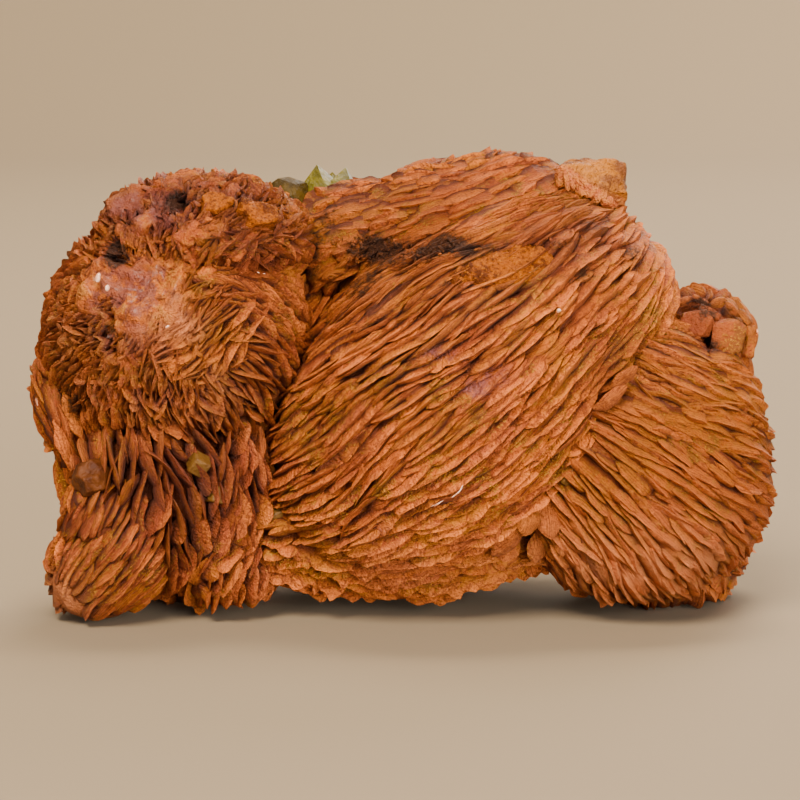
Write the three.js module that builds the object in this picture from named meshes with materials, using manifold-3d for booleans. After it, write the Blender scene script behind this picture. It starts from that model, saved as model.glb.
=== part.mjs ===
// A cluster of crested barite with green fluorite crystals, in millimetres.
// +X runs along the length, +Y to the back and +Z up. The origin is under the middle of the
// bounding box, on the surface that the cluster rests on.
//
// The barite is one solid: rounded lobes grown into each other, ribbed with thin crested blades.
// A lobe's blades stand like the pages of an open book, in planes that all hold one line, its spine.
// The fluorite crystals are solids of their own, each in a seat cut into the barite.
import * as THREE from "three";
import { ConvexGeometry } from "three/addons/geometries/ConvexGeometry.js";
import { mergeVertices } from "three/addons/utils/BufferGeometryUtils.js";
import Module from "manifold-3d";

const wasm = await Module();
wasm.setup();

// ---- driving dimensions ----
const seatGap = 0.3; // between a fluorite crystal and the seat it stands in
const lumpHeight = 0.7; // slow swelling of every lobe
const lumpPitch = [0.24, 0.27, 0.22]; // radians per mm, along X, Y and Z
const lumpPhase = [1.3, 0.4, 2.1];
const valleyDepth = 0.25; // of the blade height, below the lobe's own surface
const bladeShape = [0, 1, 0.8]; // height at the start, the peak and the end of a blade
const bladeNudge = [-0.3, 0, 0.15]; // in steps: the end of one blade stands close to the next start
const bareFade = 1.7; // ribs are full height this many bare radii from the middle
const outwardShare = 0.85; // how fully a blade stands in its page rather than square to the lobe
const smallestEdge = 0.25;
const shift = [0.4, -1.9, 0]; // brings the middle of the box over the origin
const randomSeed = 20;

// at, radii, turn: an ellipsoid, tilted about Y in degrees. spineAt, spine: a point on the line that
// all its pages hold, and the line's direction. pages: ribs in all. steps: corners along one rib,
// three to a blade. height: of a blade. bare: radius of the smooth patch around spineAt.
const lobes = {
  centre: {
    at: [8.6, -3, 33], radii: [34, 22, 22.4], turn: 41,
    spineAt: [7, 23.7, 37.3], spine: [0.752, -0.346, 0.561], pages: 21, steps: 27, height: 2.0,
  },
  crown: {
    at: [10, 7, 53.5], radii: [22, 15, 12.6], turn: 6,
    spineAt: [7.5, -34.5, 65.1], spine: [0.662, 0.741, 0.114], pages: 10, steps: 18, height: 1.5,
  },
  saddle: {
    at: [-5, 9, 53], radii: [15, 12, 9.5], turn: 0,
    spineAt: [7.5, -34.5, 65.1], spine: [0.662, 0.741, 0.114], pages: 7, steps: 12, height: 1.2,
  },
  rosette: {
    at: [-33.3, -2, 41], radii: [18.6, 19, 18.6], turn: 0, bare: 7,
    spineAt: [-35, -20, 49], spine: [-0.286, -0.707, 0.647], pages: 22, steps: 12, height: 1.5,
  },
  shoulder: {
    at: [-29.3, -1.5, 55.7], radii: [15, 15.5, 7.9], turn: -2,
    spineAt: [-40, 0, 80], spine: [0.3, -1, 0.2], pages: 8, steps: 12, height: 1.1,
  },
  flare: {
    at: [-49, -1, 28.5], radii: [4.2, 9, 10], turn: 22,
    spineAt: [-75, 0, 91], spine: [0, -1, 0], pages: 5, steps: 9, height: 1.2,
  },
  drape: {
    at: [-34, -2, 21], radii: [15.5, 15, 16.5], turn: 0,
    spineAt: [-50.8, 0, 61.8], spine: [0.375, -0.926, 0.052], pages: 13, steps: 15, height: 2.2,
  },
  cone: {
    at: [-41.8, -8, 10], radii: [12.5, 9, 7.4], turn: 46,
    spineAt: [-64.3, -12, -16.5], spine: [-0.19, -0.874, -0.447], pages: 9, steps: 12, height: 1.0,
  },
  toe: {
    at: [-26.5, -4, 9.6], radii: [7, 8.5, 8.4], turn: 0,
    spineAt: [-3.6, -4, 66.7], spine: [0.303, -0.681, 0.667], pages: 7, steps: 9, height: 1.5,
  },
  keel: {
    at: [0.5, -2, 15], radii: [26.5, 13, 10.8], turn: 4,
    spineAt: [7, 23.7, 37.3], spine: [0.752, -0.346, 0.561], pages: 8, steps: 12, height: 1.4,
  },
  sole: {
    at: [1, 15, 14], radii: [28, 13, 12.2], turn: 0,
    spineAt: [60, 0, 60], spine: [0.1, 1, 0.3], pages: 7, steps: 9, height: 1.3,
  },
  fan: {
    at: [33.5, -5, 23.3], radii: [19.4, 16.5, 21.2], turn: 0,
    spineAt: [4.3, 0, 45.5], spine: [-0.399, -0.826, 0.399], pages: 18, steps: 17, height: 1.8,
  },
  knob: {
    at: [43, 3, 40.5], radii: [8, 8, 7.6], turn: -20,
    spineAt: [60, 0, 10], spine: [0.4, -0.8, 0.3], pages: 5, steps: 9, height: 0.8,
  },
  backLeft: {
    at: [-22, 13, 33], radii: [25, 15, 25], turn: 10,
    spineAt: [-26, 28, 22], spine: [0.2, 1, -0.1], pages: 17, steps: 12, height: 1.7,
  },
  backRight: {
    at: [17, 14, 32], radii: [26, 15, 25], turn: -12,
    spineAt: [44, 20, 52], spine: [-0.3, 1, 0.2], pages: 13, steps: 14, height: 1.7,
  },
  heelLeft: {
    at: [-31, 12, 9.5], radii: [14, 13, 12], turn: 0,
    spineAt: [-20, 12, 40], spine: [0.2, 1, 0], pages: 6, steps: 9, height: 1.4,
  },
  heelRight: {
    at: [38, 9, 10.5], radii: [13, 15, 12.8], turn: 0,
    spineAt: [22, 12, 46], spine: [-0.2, 1, 0], pages: 6, steps: 8, height: 1.4,
  },
};

// Single plates that stand clear of the lobes: middle, the way the broad face looks, the way the
// long axis points, and length, width and thickness.
const plates = [
  { at: [17, -18, 17.4], face: [0.25, -1, 0.1], along: [0.15, 0, 1], size: [6.4, 3.4, 1.4] },
  { at: [20, -17, 17], face: [-0.2, -1, 0.1], along: [-0.1, 0, 1], size: [7, 3.4, 1.4] },
  { at: [18.8, -13, 12], face: [0.3, -1, -0.2], along: [0.1, 0, 1], size: [5, 2.8, 1.3] },
  { at: [14.2, -16.5, 13], face: [0.2, -1, -0.3], along: [0.8, 0, 0.7], size: [6, 3, 1.3] },
  { at: [-50.6, -6, 29], face: [0.5, -1, 0.1], along: [-0.45, 0, 1], size: [11, 4.4, 1.3] },
  { at: [-51.9, -2.5, 30], face: [0.2, -1, 0.1], along: [-0.4, 0, 1], size: [12, 4, 1.4] },
  { at: [-49.4, -9, 25], face: [0.4, -1, 0], along: [-0.3, 0, 1], size: [10, 4, 1.4] },
  { at: [13, -19, 53], face: [-0.1, -0.75, 0.65], along: [1, 0, 0.22], size: [8.5, 3.6, 1.3] },
];

// Round lumps: middle, radii and tilt about Y in degrees.
const lumps = [
  { at: [41.8, -4.6, 43.4], radii: [2.6, 1.6, 2.1], turn: 20 },
  { at: [46.2, -4.5, 41.3], radii: [2.9, 1.7, 2.4], turn: 45 },
  { at: [49.6, -1, 38], radii: [2.2, 2.4, 3.4], turn: -15 },
  { at: [-19.5, -8, 59.5], radii: [2.6, 2.4, 1.7], turn: 10 },
  { at: [-37.5, -9, 59.5], radii: [3.4, 2.6, 1.8], turn: -20 },
];

// Pits: middle and radii.
const pits = [
  { at: [-40.5, -15.5, 54], radii: [1.9, 4.5, 1.5] },
  { at: [-32.5, -10.8, 61], radii: [1.5, 4, 1.3] },
  { at: [-27.5, -16.5, 56], radii: [1.2, 4, 1.1] },
  { at: [42.2, -4, 46.3], radii: [4, 3, 0.9] },
  { at: [43.9, -6, 40.2], radii: [0.7, 2.4, 0.9] },
  { at: [16, -15.2, 13.2], radii: [1.8, 4.5, 1.2] },
  { at: [-12.9, 0.5, 61.5], radii: [1.5, 4, 1.7] },
];

// A rough block of granular barite on the right end of the crown, as corners of its hull.
const block = [
  [22, -1, 65.4], [25, 3, 66.4], [31.4, 2, 65.6], [32.3, 4.5, 64], [32, 1.2, 61.5], [31.5, 3, 59.3],
  [24, 0, 58], [20, 2, 61], [31, 9, 65.2], [31.6, 9.5, 60.5], [24, 11, 65.2], [21, 10, 60], [27.5, -1, 61.8],
];

// Fluorite. A crystal is a cube whose corners are cut to an octahedron: cube and octahedron are
// the distances from its middle to a cube face and to an octahedron tip. Without a cube it is a
// whole octahedron, and one of 3 cubes or more is a whole cube. turn is in degrees about X, Y and Z.
const fluorites = {
  fluorite_green: {
    material: "green",
    crystals: [
      { at: [-12.9, 11.2, 60.8], octahedron: 4.1, turn: [4, -6, 20] },
      { at: [-9.6, 12.2, 60.7], octahedron: 3.7, turn: [-5, 8, 32] },
      { at: [-11.4, 15.8, 58.2], octahedron: 5.4, turn: [12, 3, 8] },
      { at: [-8.2, 19, 54.6], octahedron: 4.8, turn: [-8, 12, 40] },
      { at: [-14.4, 19.2, 54.4], octahedron: 4.6, turn: [6, -10, 25] },
      { at: [-11.6, 22.4, 50.4], octahedron: 4.9, turn: [14, 5, 12] },
    ],
  },
  fluorite_dark: {
    material: "dark",
    crystals: [
      { at: [-17.6, 9, 59.6], octahedron: 5.4, cube: 3.2, turn: [8, 12, 15] },
      { at: [-19.8, 13.4, 57.6], octahedron: 4.4, cube: 3.0, turn: [20, -8, 35] },
    ],
  },
  fluorite_small: {
    material: "dark",
    crystals: [{ at: [-22.6, 8, 61.3], octahedron: 2.9, cube: 1.8, turn: [10, 20, 30] }],
  },
  fluorite_brown: {
    material: "brown",
    crystals: [{ at: [-45, -13.8, 21.9], octahedron: 3.9, cube: 2.3, turn: [15, 25, 10] }],
  },
  fluorite_chip_left: {
    material: "pale",
    crystals: [{ at: [-29.6, -16.9, 24.4], octahedron: 3.9, cube: 1.3, turn: [20, 35, 10] }],
  },
  fluorite_chip_low: {
    material: "pale",
    crystals: [{ at: [-27.3, -15.2, 19.7], octahedron: 3.6, cube: 1.2, turn: [-15, 10, 40] }],
  },
  fluorite_chip_middle: {
    material: "pale",
    crystals: [{ at: [-18.4, -9.6, 15.9], octahedron: 3.9, cube: 1.3, turn: [30, -20, 15] }],
  },
  fluorite_chip_right: {
    material: "pale",
    crystals: [{ at: [23, -17.9, 22.9], octahedron: 3.9, cube: 1.3, turn: [10, 40, 25] }],
  },
};

const looks = {
  barite: { color: 0xb0623a, roughness: 0.75 },
  green: { color: 0xa3a83c, roughness: 0.15, transparent: true, opacity: 0.6 },
  dark: { color: 0x5d6628, roughness: 0.2, transparent: true, opacity: 0.75 },
  brown: { color: 0x70402a, roughness: 0.15, transparent: true, opacity: 0.8 },
  pale: { color: 0x9c9466, roughness: 0.2, transparent: true, opacity: 0.7 },
};

let seed = randomSeed;
function random() {
  seed = (seed + 0x6d2b79f5) | 0;
  let t = Math.imul(seed ^ (seed >>> 15), 1 | seed);
  t = (t + Math.imul(t ^ (t >>> 7), 61 | t)) ^ t;
  return ((t ^ (t >>> 14)) >>> 0) / 4294967296;
}
const between = (low, high) => low + (high - low) * random();
const vector = (xyz) => new THREE.Vector3(...xyz);

function solidOfFaces(corners, faces) {
  const build = (order) =>
    new wasm.Manifold(
      new wasm.Mesh({
        numProp: 3,
        vertProperties: new Float32Array(corners.flatMap((p) => [p.x, p.y, p.z])),
        triVerts: new Uint32Array(faces.flatMap(order)),
      }),
    );
  const solid = build((face) => face);
  return solid.volume() > 0 ? solid : build(([a, b, c]) => [a, c, b]);
}

function hullOf(points) {
  const geometry = new ConvexGeometry(points);
  geometry.deleteAttribute("normal");
  const merged = mergeVertices(geometry, 1e-4);
  const position = merged.getAttribute("position");
  const corners = Array.from({ length: position.count }, (_, i) =>
    new THREE.Vector3().fromBufferAttribute(position, i),
  );
  const faces = Array.from({ length: merged.index.count / 3 }, (_, i) =>
    Array.from(merged.index.array.slice(3 * i, 3 * i + 3)),
  );
  return solidOfFaces(corners, faces);
}

function geometryOf(solid) {
  const mesh = solid.getMesh();
  const geometry = new THREE.BufferGeometry();
  geometry.setAttribute("position", new THREE.BufferAttribute(mesh.vertProperties, 3));
  geometry.setIndex(new THREE.BufferAttribute(mesh.triVerts, 1));
  geometry.computeVertexNormals();
  return geometry;
}

// The largest body alone: loose chips and sealed hollows are left out.
function largestBody(solid) {
  return solid.decompose().reduce((most, body) => (body.volume() > most.volume() ? body : most));
}

// ---- lobes ----
for (const lobe of Object.values(lobes)) {
  const turn = new THREE.Matrix4().makeRotationY((-lobe.turn * Math.PI) / 180);
  const size = new THREE.Matrix4().makeScale(...lobe.radii);
  lobe.matrix = new THREE.Matrix4().makeTranslation(...lobe.at).multiply(turn).multiply(size);
  lobe.inverse = lobe.matrix.clone().invert();
}

// A slow swelling of the surface, the same function of place for all lobes.
function lumpAt(p) {
  return [p.x, p.y, p.z].reduce(
    (lump, place, axis) => lump * Math.sin(lumpPitch[axis] * place + lumpPhase[axis]),
    lumpHeight,
  );
}

// The point of a lobe's surface in a direction of its unit sphere, with its outward normal.
function surfaceAt(lobe, direction) {
  const point = direction.clone().applyMatrix4(lobe.matrix);
  const normal = direction.clone().applyMatrix3(new THREE.Matrix3().getNormalMatrix(lobe.matrix)).normalize();
  point.addScaledVector(normal, lumpAt(point));
  return { point, normal };
}

// The direction out of the lobe that stays close to the page.
function outOf(lobe, point, normal) {
  const across = vector(lobe.spine).cross(point.clone().sub(vector(lobe.spineAt))).normalize();
  return normal.clone().addScaledVector(across, -outwardShare * normal.dot(across)).normalize();
}

// The edges of a lobe follow its pages, and every other one is a rib of blades. A page cuts the
// unit sphere in a circle. Where the spine runs through the sphere, only the half circle on the
// page's side counts, and all ribs end at the two points where the spine comes out.
function lobeSolid(lobe) {
  const along = vector(lobe.spine).transformDirection(lobe.inverse);
  const nearest = vector(lobe.spineAt).applyMatrix4(lobe.inverse);
  nearest.addScaledVector(along, -nearest.dot(along));
  const away = nearest.length();
  const inside = away < 1;
  const towards = nearest.clone().negate().normalize();
  const beside = along.clone().cross(towards).normalize();
  const pageAt = (share) => {
    const angle = inside ? Math.PI * (2 * share - 1) : Math.asin(Math.sin(Math.PI * (share - 0.5)) / away);
    return towards.clone().multiplyScalar(Math.cos(angle)).addScaledVector(beside, Math.sin(angle));
  };
  const lines = 2 * lobe.pages;
  const rings = [];
  for (let i = 0; i < lines; i++) {
    const crest = i % 2 === 1;
    const page = pageAt((i + 0.5 + (crest ? between(-0.3, 0.3) : 0)) / lines);
    const middle = -nearest.dot(page);
    const radius = Math.sqrt(Math.max(1 - away * away + middle * middle, 0));
    const reach = inside ? Math.acos(-middle / radius) : Math.PI;
    const first = Math.floor(between(0, 3));
    const slide = crest ? between(-0.4, 0.4) : 0;
    const ring = [];
    for (let j = inside ? 1 : 0; j < lobe.steps; j++) {
      const role = (j + first) % 3;
      const step = (j + slide + (crest ? bladeNudge[role] : 0)) / lobe.steps;
      const turn = reach * (2 * step - 1);
      const direction = nearest.clone().addScaledVector(page, middle + radius * Math.cos(turn));
      direction.addScaledVector(along, radius * Math.sin(turn)).normalize();
      const { point, normal } = surfaceAt(lobe, direction);
      const rise = crest ? bladeShape[role] * between(0.75, 1.2) : -valleyDepth;
      ring.push(point.addScaledVector(outOf(lobe, point, normal), rise * lobe.height * fadeAt(lobe, point)));
    }
    rings.push(ring);
  }
  const ends = [-1, 1].map((side) => {
    const page = pageAt(side < 0 ? 0 : 1);
    const direction = nearest.clone();
    if (inside) direction.addScaledVector(along, side * Math.sqrt(1 - away * away));
    else direction.addScaledVector(page, -nearest.dot(page));
    return surfaceAt(lobe, direction.normalize()).point;
  });
  return inside ? solidOfRings(transposed(rings), ends) : solidOfRings(rings, ends);
}

function fadeAt(lobe, point) {
  if (!lobe.bare) return 1;
  return THREE.MathUtils.smoothstep(point.distanceTo(vector(lobe.spineAt)), lobe.bare, bareFade * lobe.bare);
}

const transposed = (rows) => rows[0].map((_, j) => rows.map((row) => row[j]));

// A closed solid from rings of points, with one end point before the first and one after the last.
function solidOfRings(rings, ends) {
  const count = rings[0].length;
  const before = rings.length * count;
  const faces = [];
  for (let j = 0; j < count; j++) {
    const next = (j + 1) % count;
    faces.push([before, next, j], [before + 1, before - count + j, before - count + next]);
    for (let i = 0; i < before - count; i += count) {
      faces.push([i + j, i + next, i + count + next], [i + j, i + count + next, i + count + j]);
    }
  }
  return solidOfFaces(rings.flat().concat(ends), faces);
}

// ---- single pieces of barite, fused into the cluster ----
const plateOutline = [[-0.5, 0.05], [-0.24, 0.45], [0.3, 0.42], [0.5, -0.08], [0.2, -0.46], [-0.3, -0.4]];
const plateRim = 0.86; // of the outline, for the back of a plate

function plateSolid({ at, face, along, size }) {
  const out = vector(face).normalize();
  const side = out.clone().cross(vector(along)).normalize();
  const axis = side.clone().cross(out);
  const place = (u, v, w) => vector(at)
    .addScaledVector(axis, u * size[0]).addScaledVector(side, v * size[1]).addScaledVector(out, w * size[2]);
  return hullOf(plateOutline.flatMap(([u, v]) => [
    place(plateRim * u, plateRim * v, 0.5),
    place(u, v, -0.5),
  ]));
}

// An ellipsoid of few faces, its corners a little uneven.
function roundSolid({ at, radii, turn = 0 }) {
  const points = new THREE.IcosahedronGeometry(1, 0).getAttribute("position");
  const corners = new Map();
  for (let i = 0; i < points.count; i++) {
    const corner = new THREE.Vector3().fromBufferAttribute(points, i);
    corners.set(corner.toArray().map((value) => value.toFixed(3)).join(), corner);
  }
  return hullOf([...corners.values()].map((corner) =>
    corner.multiplyScalar(between(0.9, 1.08)).multiply(vector(radii))
      .applyAxisAngle(new THREE.Vector3(0, 1, 0), THREE.MathUtils.degToRad(-turn)).add(vector(at))));
}

// ---- fluorite crystals ----
// Grown by extra on every face, for the seat.
function crystalSolid({ at, octahedron, cube, turn }, extra = 0) {
  const o = octahedron + extra * Math.sqrt(3);
  const c = cube ? cube + extra : o;
  const corner = o >= 2 * c ? [c, c, Math.min(o - 2 * c, c)] : [c, o - c, 0];
  const turning = new THREE.Euler(...turn.map(THREE.MathUtils.degToRad));
  const points = new Map();
  for (const order of [[0, 1, 2], [1, 2, 0], [2, 0, 1], [0, 2, 1], [2, 1, 0], [1, 0, 2]]) {
    for (let signs = 0; signs < 8; signs++) {
      const xyz = order.map((axis, place) => corner[axis] * (signs & (1 << place) ? -1 : 1) + 0);
      points.set(xyz.join(), vector(xyz).applyEuler(turning).add(vector(at)));
    }
  }
  return hullOf([...points.values()]);
}
const crystalsOf = ({ crystals }, extra) =>
  wasm.Manifold.union(crystals.map((crystal) => crystalSolid(crystal, extra)));

// ---- the cluster ----
const group = new THREE.Group();
const materials = Object.fromEntries(
  Object.entries(looks).map(([name, look]) =>
    [name, new THREE.MeshStandardMaterial({ ...look, metalness: 0 })]),
);
function addNode(name, solid, look) {
  const mesh = new THREE.Mesh(geometryOf(solid), materials[look]);
  mesh.name = name;
  mesh.position.set(...shift);
  group.add(mesh);
}

const grown = wasm.Manifold.union([
  ...Object.values(lobes).map(lobeSolid),
  ...plates.map(plateSolid),
  ...lumps.map(roundSolid),
  hullOf(block.map(vector)),
]);
const seats = Object.values(fluorites).map((fluorite) => crystalsOf(fluorite, seatGap));
const cut = wasm.Manifold.union([...pits.map(roundSolid), ...seats]);
const barite = largestBody(grown.subtract(cut).trimByPlane([0, 0, 1], 0).simplify(smallestEdge));
addNode("barite_cluster", barite, "barite");
// Where two groups of crystals meet, the later one is cut back to the seat of the earlier.
Object.entries(fluorites).forEach(([name, fluorite], i) => {
  const crystals = crystalsOf(fluorite).subtract(wasm.Manifold.union(seats.slice(0, i)));
  addNode(name, largestBody(crystals), fluorite.material);
});

export default group;
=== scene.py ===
import math
from itertools import product

import bmesh
import bpy
import numpy as np
from mathutils import Euler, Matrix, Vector


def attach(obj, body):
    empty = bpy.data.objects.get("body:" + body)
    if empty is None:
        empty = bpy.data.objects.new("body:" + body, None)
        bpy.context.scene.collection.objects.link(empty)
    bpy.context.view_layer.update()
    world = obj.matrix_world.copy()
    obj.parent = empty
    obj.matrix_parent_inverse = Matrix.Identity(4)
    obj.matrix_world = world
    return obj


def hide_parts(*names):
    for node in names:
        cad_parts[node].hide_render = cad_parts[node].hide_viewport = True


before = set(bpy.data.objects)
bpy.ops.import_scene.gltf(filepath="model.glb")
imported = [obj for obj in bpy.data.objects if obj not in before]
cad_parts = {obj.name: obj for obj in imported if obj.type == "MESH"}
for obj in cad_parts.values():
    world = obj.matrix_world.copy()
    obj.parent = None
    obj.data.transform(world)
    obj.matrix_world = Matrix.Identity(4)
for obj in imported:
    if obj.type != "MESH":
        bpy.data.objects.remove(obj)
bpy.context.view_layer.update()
print("frame loaded")

mm = 0.001
shift = np.array([0.4, -1.9, 0.0])  # mm, brings the middle of the box over the origin
lowest = 0.02  # mm, nothing reaches lower
swell = {"height": 0.7, "pitch": np.array([0.24, 0.27, 0.22]), "phase": np.array([1.3, 0.4, 2.1])}
draw = np.random.default_rng(11)

# Every lobe is an ellipsoid (at, radii, turn about Y in degrees) covered with blades whose planes all
# hold one line (spineAt, spine). In mm: apart, between neighbours; long, wide and high, of a blade;
# sink, how deep the skin lies under them; hang, how far their lower ends stand free. In degrees: flow,
# how far neighbours turn together; stray, how far one turns alone; lean; turned, how far all turn, and
# lowTurned, the low ones. tint shifts the tone, blunt makes the ends fuller, and grain is a spot, its
# width and the one way that the blades in it run.
usual = {"turn": 0, "sink": 0.55, "hang": 0, "turned": 0, "lowTurned": 0, "tint": 0, "blunt": 1}
lobes = {
    "centre": {
        "at": (8.6, -3, 33), "radii": (34, 22, 22.4), "turn": 41,
        "spineAt": (7, 23.7, 37.3), "spine": (0.752, -0.346, 0.561),
        "apart": 0.8, "long": 11, "wide": 1.65, "high": 1.2, "flow": 9, "stray": 4, "lean": 12,
        "lowTurned": -18,
    },
    "crown": {
        "at": (10, 7, 53.5), "radii": (22, 15, 12.6), "turn": 6,
        "spineAt": (7.5, -34.5, 65.1), "spine": (0.662, 0.741, 0.114),
        "apart": 1.05, "long": 8.5, "wide": 2.5, "high": 1.0, "flow": 10, "stray": 6, "lean": 9,
        "blunt": 1.6,
    },
    "saddle": {
        "at": (-5, 9, 53), "radii": (15, 12, 9.5),
        "spineAt": (7.5, -34.5, 65.1), "spine": (0.662, 0.741, 0.114),
        "apart": 1.05, "long": 7.5, "wide": 2.5, "high": 1.0, "flow": 12, "stray": 7, "lean": 10,
        "blunt": 1.6,
    },
    "rosette": {
        "at": (-33.3, -2, 41), "radii": (18.6, 19, 18.6),
        "spineAt": (-35, -20, 49), "spine": (-0.286, -0.707, 0.647),
        "apart": 0.8, "long": 7, "wide": 0.95, "high": 1.2, "flow": 18, "stray": 9, "lean": 12,
        "tint": -0.05, "blunt": 1.3, "grain": ((-28.8, -20.5, 43.2), (7.5, 8, 6.5), (0.77, 0, 0.64)),
    },
    "shoulder": {
        "at": (-29.3, -1.5, 55.7), "radii": (15, 15.5, 7.9), "turn": -2,
        "spineAt": (-35, -20, 49), "spine": (-0.286, -0.707, 0.647),
        "apart": 0.92, "long": 7, "wide": 1.3, "high": 1.5, "flow": 35, "stray": 16, "lean": 18,
        "tint": -0.9, "blunt": 1.4,
    },
    "flare": {
        "at": (-49, -1, 28.5), "radii": (4.2, 9, 10), "turn": 22,
        "spineAt": (-75, 0, 91), "spine": (0, -1, 0),
        "apart": 1.1, "long": 9, "wide": 1.7, "high": 1.0, "flow": 10, "stray": 6, "lean": 12,
        "tint": -0.1,
    },
    "drape": {
        "at": (-34, -2, 21), "radii": (15.5, 15, 16.5),
        "spineAt": (-50.8, 0, 61.8), "spine": (0.375, -0.926, 0.052),
        "apart": 1.08, "long": 8.5, "wide": 1.0, "high": 2.2, "flow": 26, "stray": 13, "lean": 17,
        "tint": -0.7, "sink": 2.0, "hang": 1.0, "turned": -18,
    },
    "cone": {
        "at": (-41.8, -8, 10), "radii": (12.5, 9, 7.4), "turn": 46,
        "spineAt": (-64.3, -12, -16.5), "spine": (-0.19, -0.874, -0.447),
        "apart": 0.85, "long": 9, "wide": 1.45, "high": 0.8, "flow": 7, "stray": 5, "lean": 12,
        "tint": -0.3,
    },
    "coneTop": {
        "at": (-43.2, -8.5, 15.8), "radii": (6.2, 7.8, 8.6), "turn": -14,
        "spineAt": (-64.3, -12, -16.5), "spine": (-0.19, -0.874, -0.447),
        "apart": 0.85, "long": 9, "wide": 1.45, "high": 0.8, "flow": 9, "stray": 6, "lean": 12,
        "tint": -0.4,
    },
    "toe": {
        "at": (-26.5, -4, 9.6), "radii": (7, 8.5, 8.4),
        "spineAt": (-3.6, -4, 66.7), "spine": (0.303, -0.681, 0.667),
        "apart": 0.92, "long": 8, "wide": 1.15, "high": 1.6, "flow": 16, "stray": 11, "lean": 20,
        "tint": -0.1, "sink": 1.1, "blunt": 1.5,
    },
    "keel": {
        "at": (0.5, -2, 15), "radii": (26.5, 13, 10.8), "turn": 4,
        "spineAt": (7, 23.7, 37.3), "spine": (0.752, -0.346, 0.561),
        "apart": 1.1, "long": 7.5, "wide": 1.9, "high": 2.1, "flow": 14, "stray": 8, "lean": 18,
        "sink": 0.9, "blunt": 1.3, "grain": ((0, -6, 9), (34, 22, 9), (1, -0.05, 0.14)),
    },
    "sole": {
        "at": (1, 15, 14), "radii": (28, 13, 12.2),
        "spineAt": (60, 0, 60), "spine": (0.1, 1, 0.3),
        "apart": 1.3, "long": 11, "wide": 2.3, "high": 1.3, "flow": 12, "stray": 6, "lean": 14,
    },
    "fan": {
        "at": (33.5, -5, 23.3), "radii": (19.4, 16.5, 21.2),
        "spineAt": (4.3, 0, 45.5), "spine": (-0.399, -0.826, 0.399),
        "apart": 0.95, "long": 10, "wide": 1.8, "high": 1.15, "flow": 10, "stray": 6, "lean": 13,
        "tint": 0.4, "blunt": 1.5,
    },
    "knob": {
        "at": (43, 3, 39.9), "radii": (7.8, 8, 6.9), "turn": -20,
        "spineAt": (60, 0, 10), "spine": (0.4, -0.8, 0.3),
        "apart": 1.5, "long": 6, "wide": 2.3, "high": 1.0, "flow": 20, "stray": 14, "lean": 20,
    },
    "backLeft": {
        "at": (-22, 13, 33), "radii": (25, 15, 25), "turn": 10,
        "spineAt": (-22, 28, 14), "spine": (0.25, 1, -0.3),
        "apart": 1.15, "long": 10, "wide": 2.0, "high": 1.3, "flow": 20, "stray": 7, "lean": 16,
    },
    "backRight": {
        "at": (17, 14, 32), "radii": (26, 15, 25), "turn": -12,
        "spineAt": (44, 20, 52), "spine": (-0.3, 1, 0.2),
        "apart": 1.15, "long": 11, "wide": 2.0, "high": 1.3, "flow": 14, "stray": 6, "lean": 14,
    },
    "heelLeft": {
        "at": (-31, 12, 9.5), "radii": (14, 13, 12),
        "spineAt": (-20, 12, 40), "spine": (0.2, 1, 0),
        "apart": 1.3, "long": 9, "wide": 2.2, "high": 1.3, "flow": 12, "stray": 8, "lean": 16,
    },
    "heelRight": {
        "at": (38, 9, 10.5), "radii": (13, 15, 12.8),
        "spineAt": (22, 12, 46), "spine": (-0.2, 1, 0),
        "apart": 1.3, "long": 9, "wide": 2.2, "high": 1.3, "flow": 12, "stray": 8, "lean": 16,
    },
}
crustedLobes = ("rosette", "shoulder")

# Spots are a place and a width along each axis, in mm. First where no blade grows: lumps in the crust,
# the worn middle of the rosette, the cone's smooth tip, the crown's block, the knob's plates, a crystal.
lumpSpots = [((-27.2, -13.4, 61), (2.5, 4, 2.2)), ((-21.4, -12.8, 59.8), (2.8, 4, 2.3)),
             ((-39, -8.2, 60.6), (3.0, 4, 1.6)), ((-36.4, -13.4, 58.8), (1.5, 3, 1.2)),
             ((-30.4, -16.6, 56.8), (1.6, 3, 1))]
bareSpots = [((-36.5, -20.5, 49.5), (4.8, 7, 4.2)), ((-43, -16, 50.5), (3.5, 6, 2.6)),
             ((-50, -14, 3.5), (5.4, 8, 4.8)), ((27.5, 3, 62.5), (5, 5, 4.5)),
             ((43, -6, 42.5), (5.5, 6, 4)), ((-44.9, -17, 21.9), (2.4, 4, 2.4)), *lumpSpots]
# The crust of fine ragged blades round the rosette's middle, a dark band of grains on the crown, and
# the rosette's middle, worn smooth.
crustSpots = [((-40.5, -16, 48), (13.5, 13, 13)), ((-34, -8, 58.5), (19, 16, 7)),
              ((-35, -15, 35), (13, 9, 6.5))]
bandSpots = [((-7, -5, 53.5), (5, 6, 1.9)), ((-1, -8, 53.6), (5, 6, 1.6)),
             ((6, -13, 54.4), (4.5, 6, 1.2)), ((22.5, -18, 56), (4, 5, 1.1))]
wornSpots = [((-37.2, -20, 48.6), (7, 8, 6.8)), ((-43.5, -15, 50.5), (5.5, 6, 4.5))]
# Where the blades stand apart with deep dark gaps between them, and how much; the material paints the gaps
# darker as well, painted shade.
gapSpots = [((2, -21, 47), (17, 12, 6.5), 1.0), ((-2, -20, 38), (14, 10, 7), 0.6),
            ((-19, -13, 44), (6, 9, 11), 0.25), ((-31, -12, 22), (14, 10, 9), 1.0),
            ((-33, -8, 61), (15, 9, 4.5), 0.8), ((-24, -10, 7), (8, 8, 7), 0.4),
            ((-40, -14, 35), (9, 8, 4), 0.4), ((6, -19, 18), (16, 9, 5), 0.35),
            ((22, -17, 55), (8, 7, 3), 0.7), ((2, -14, 9), (20, 9, 5), 0.6)]
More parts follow.
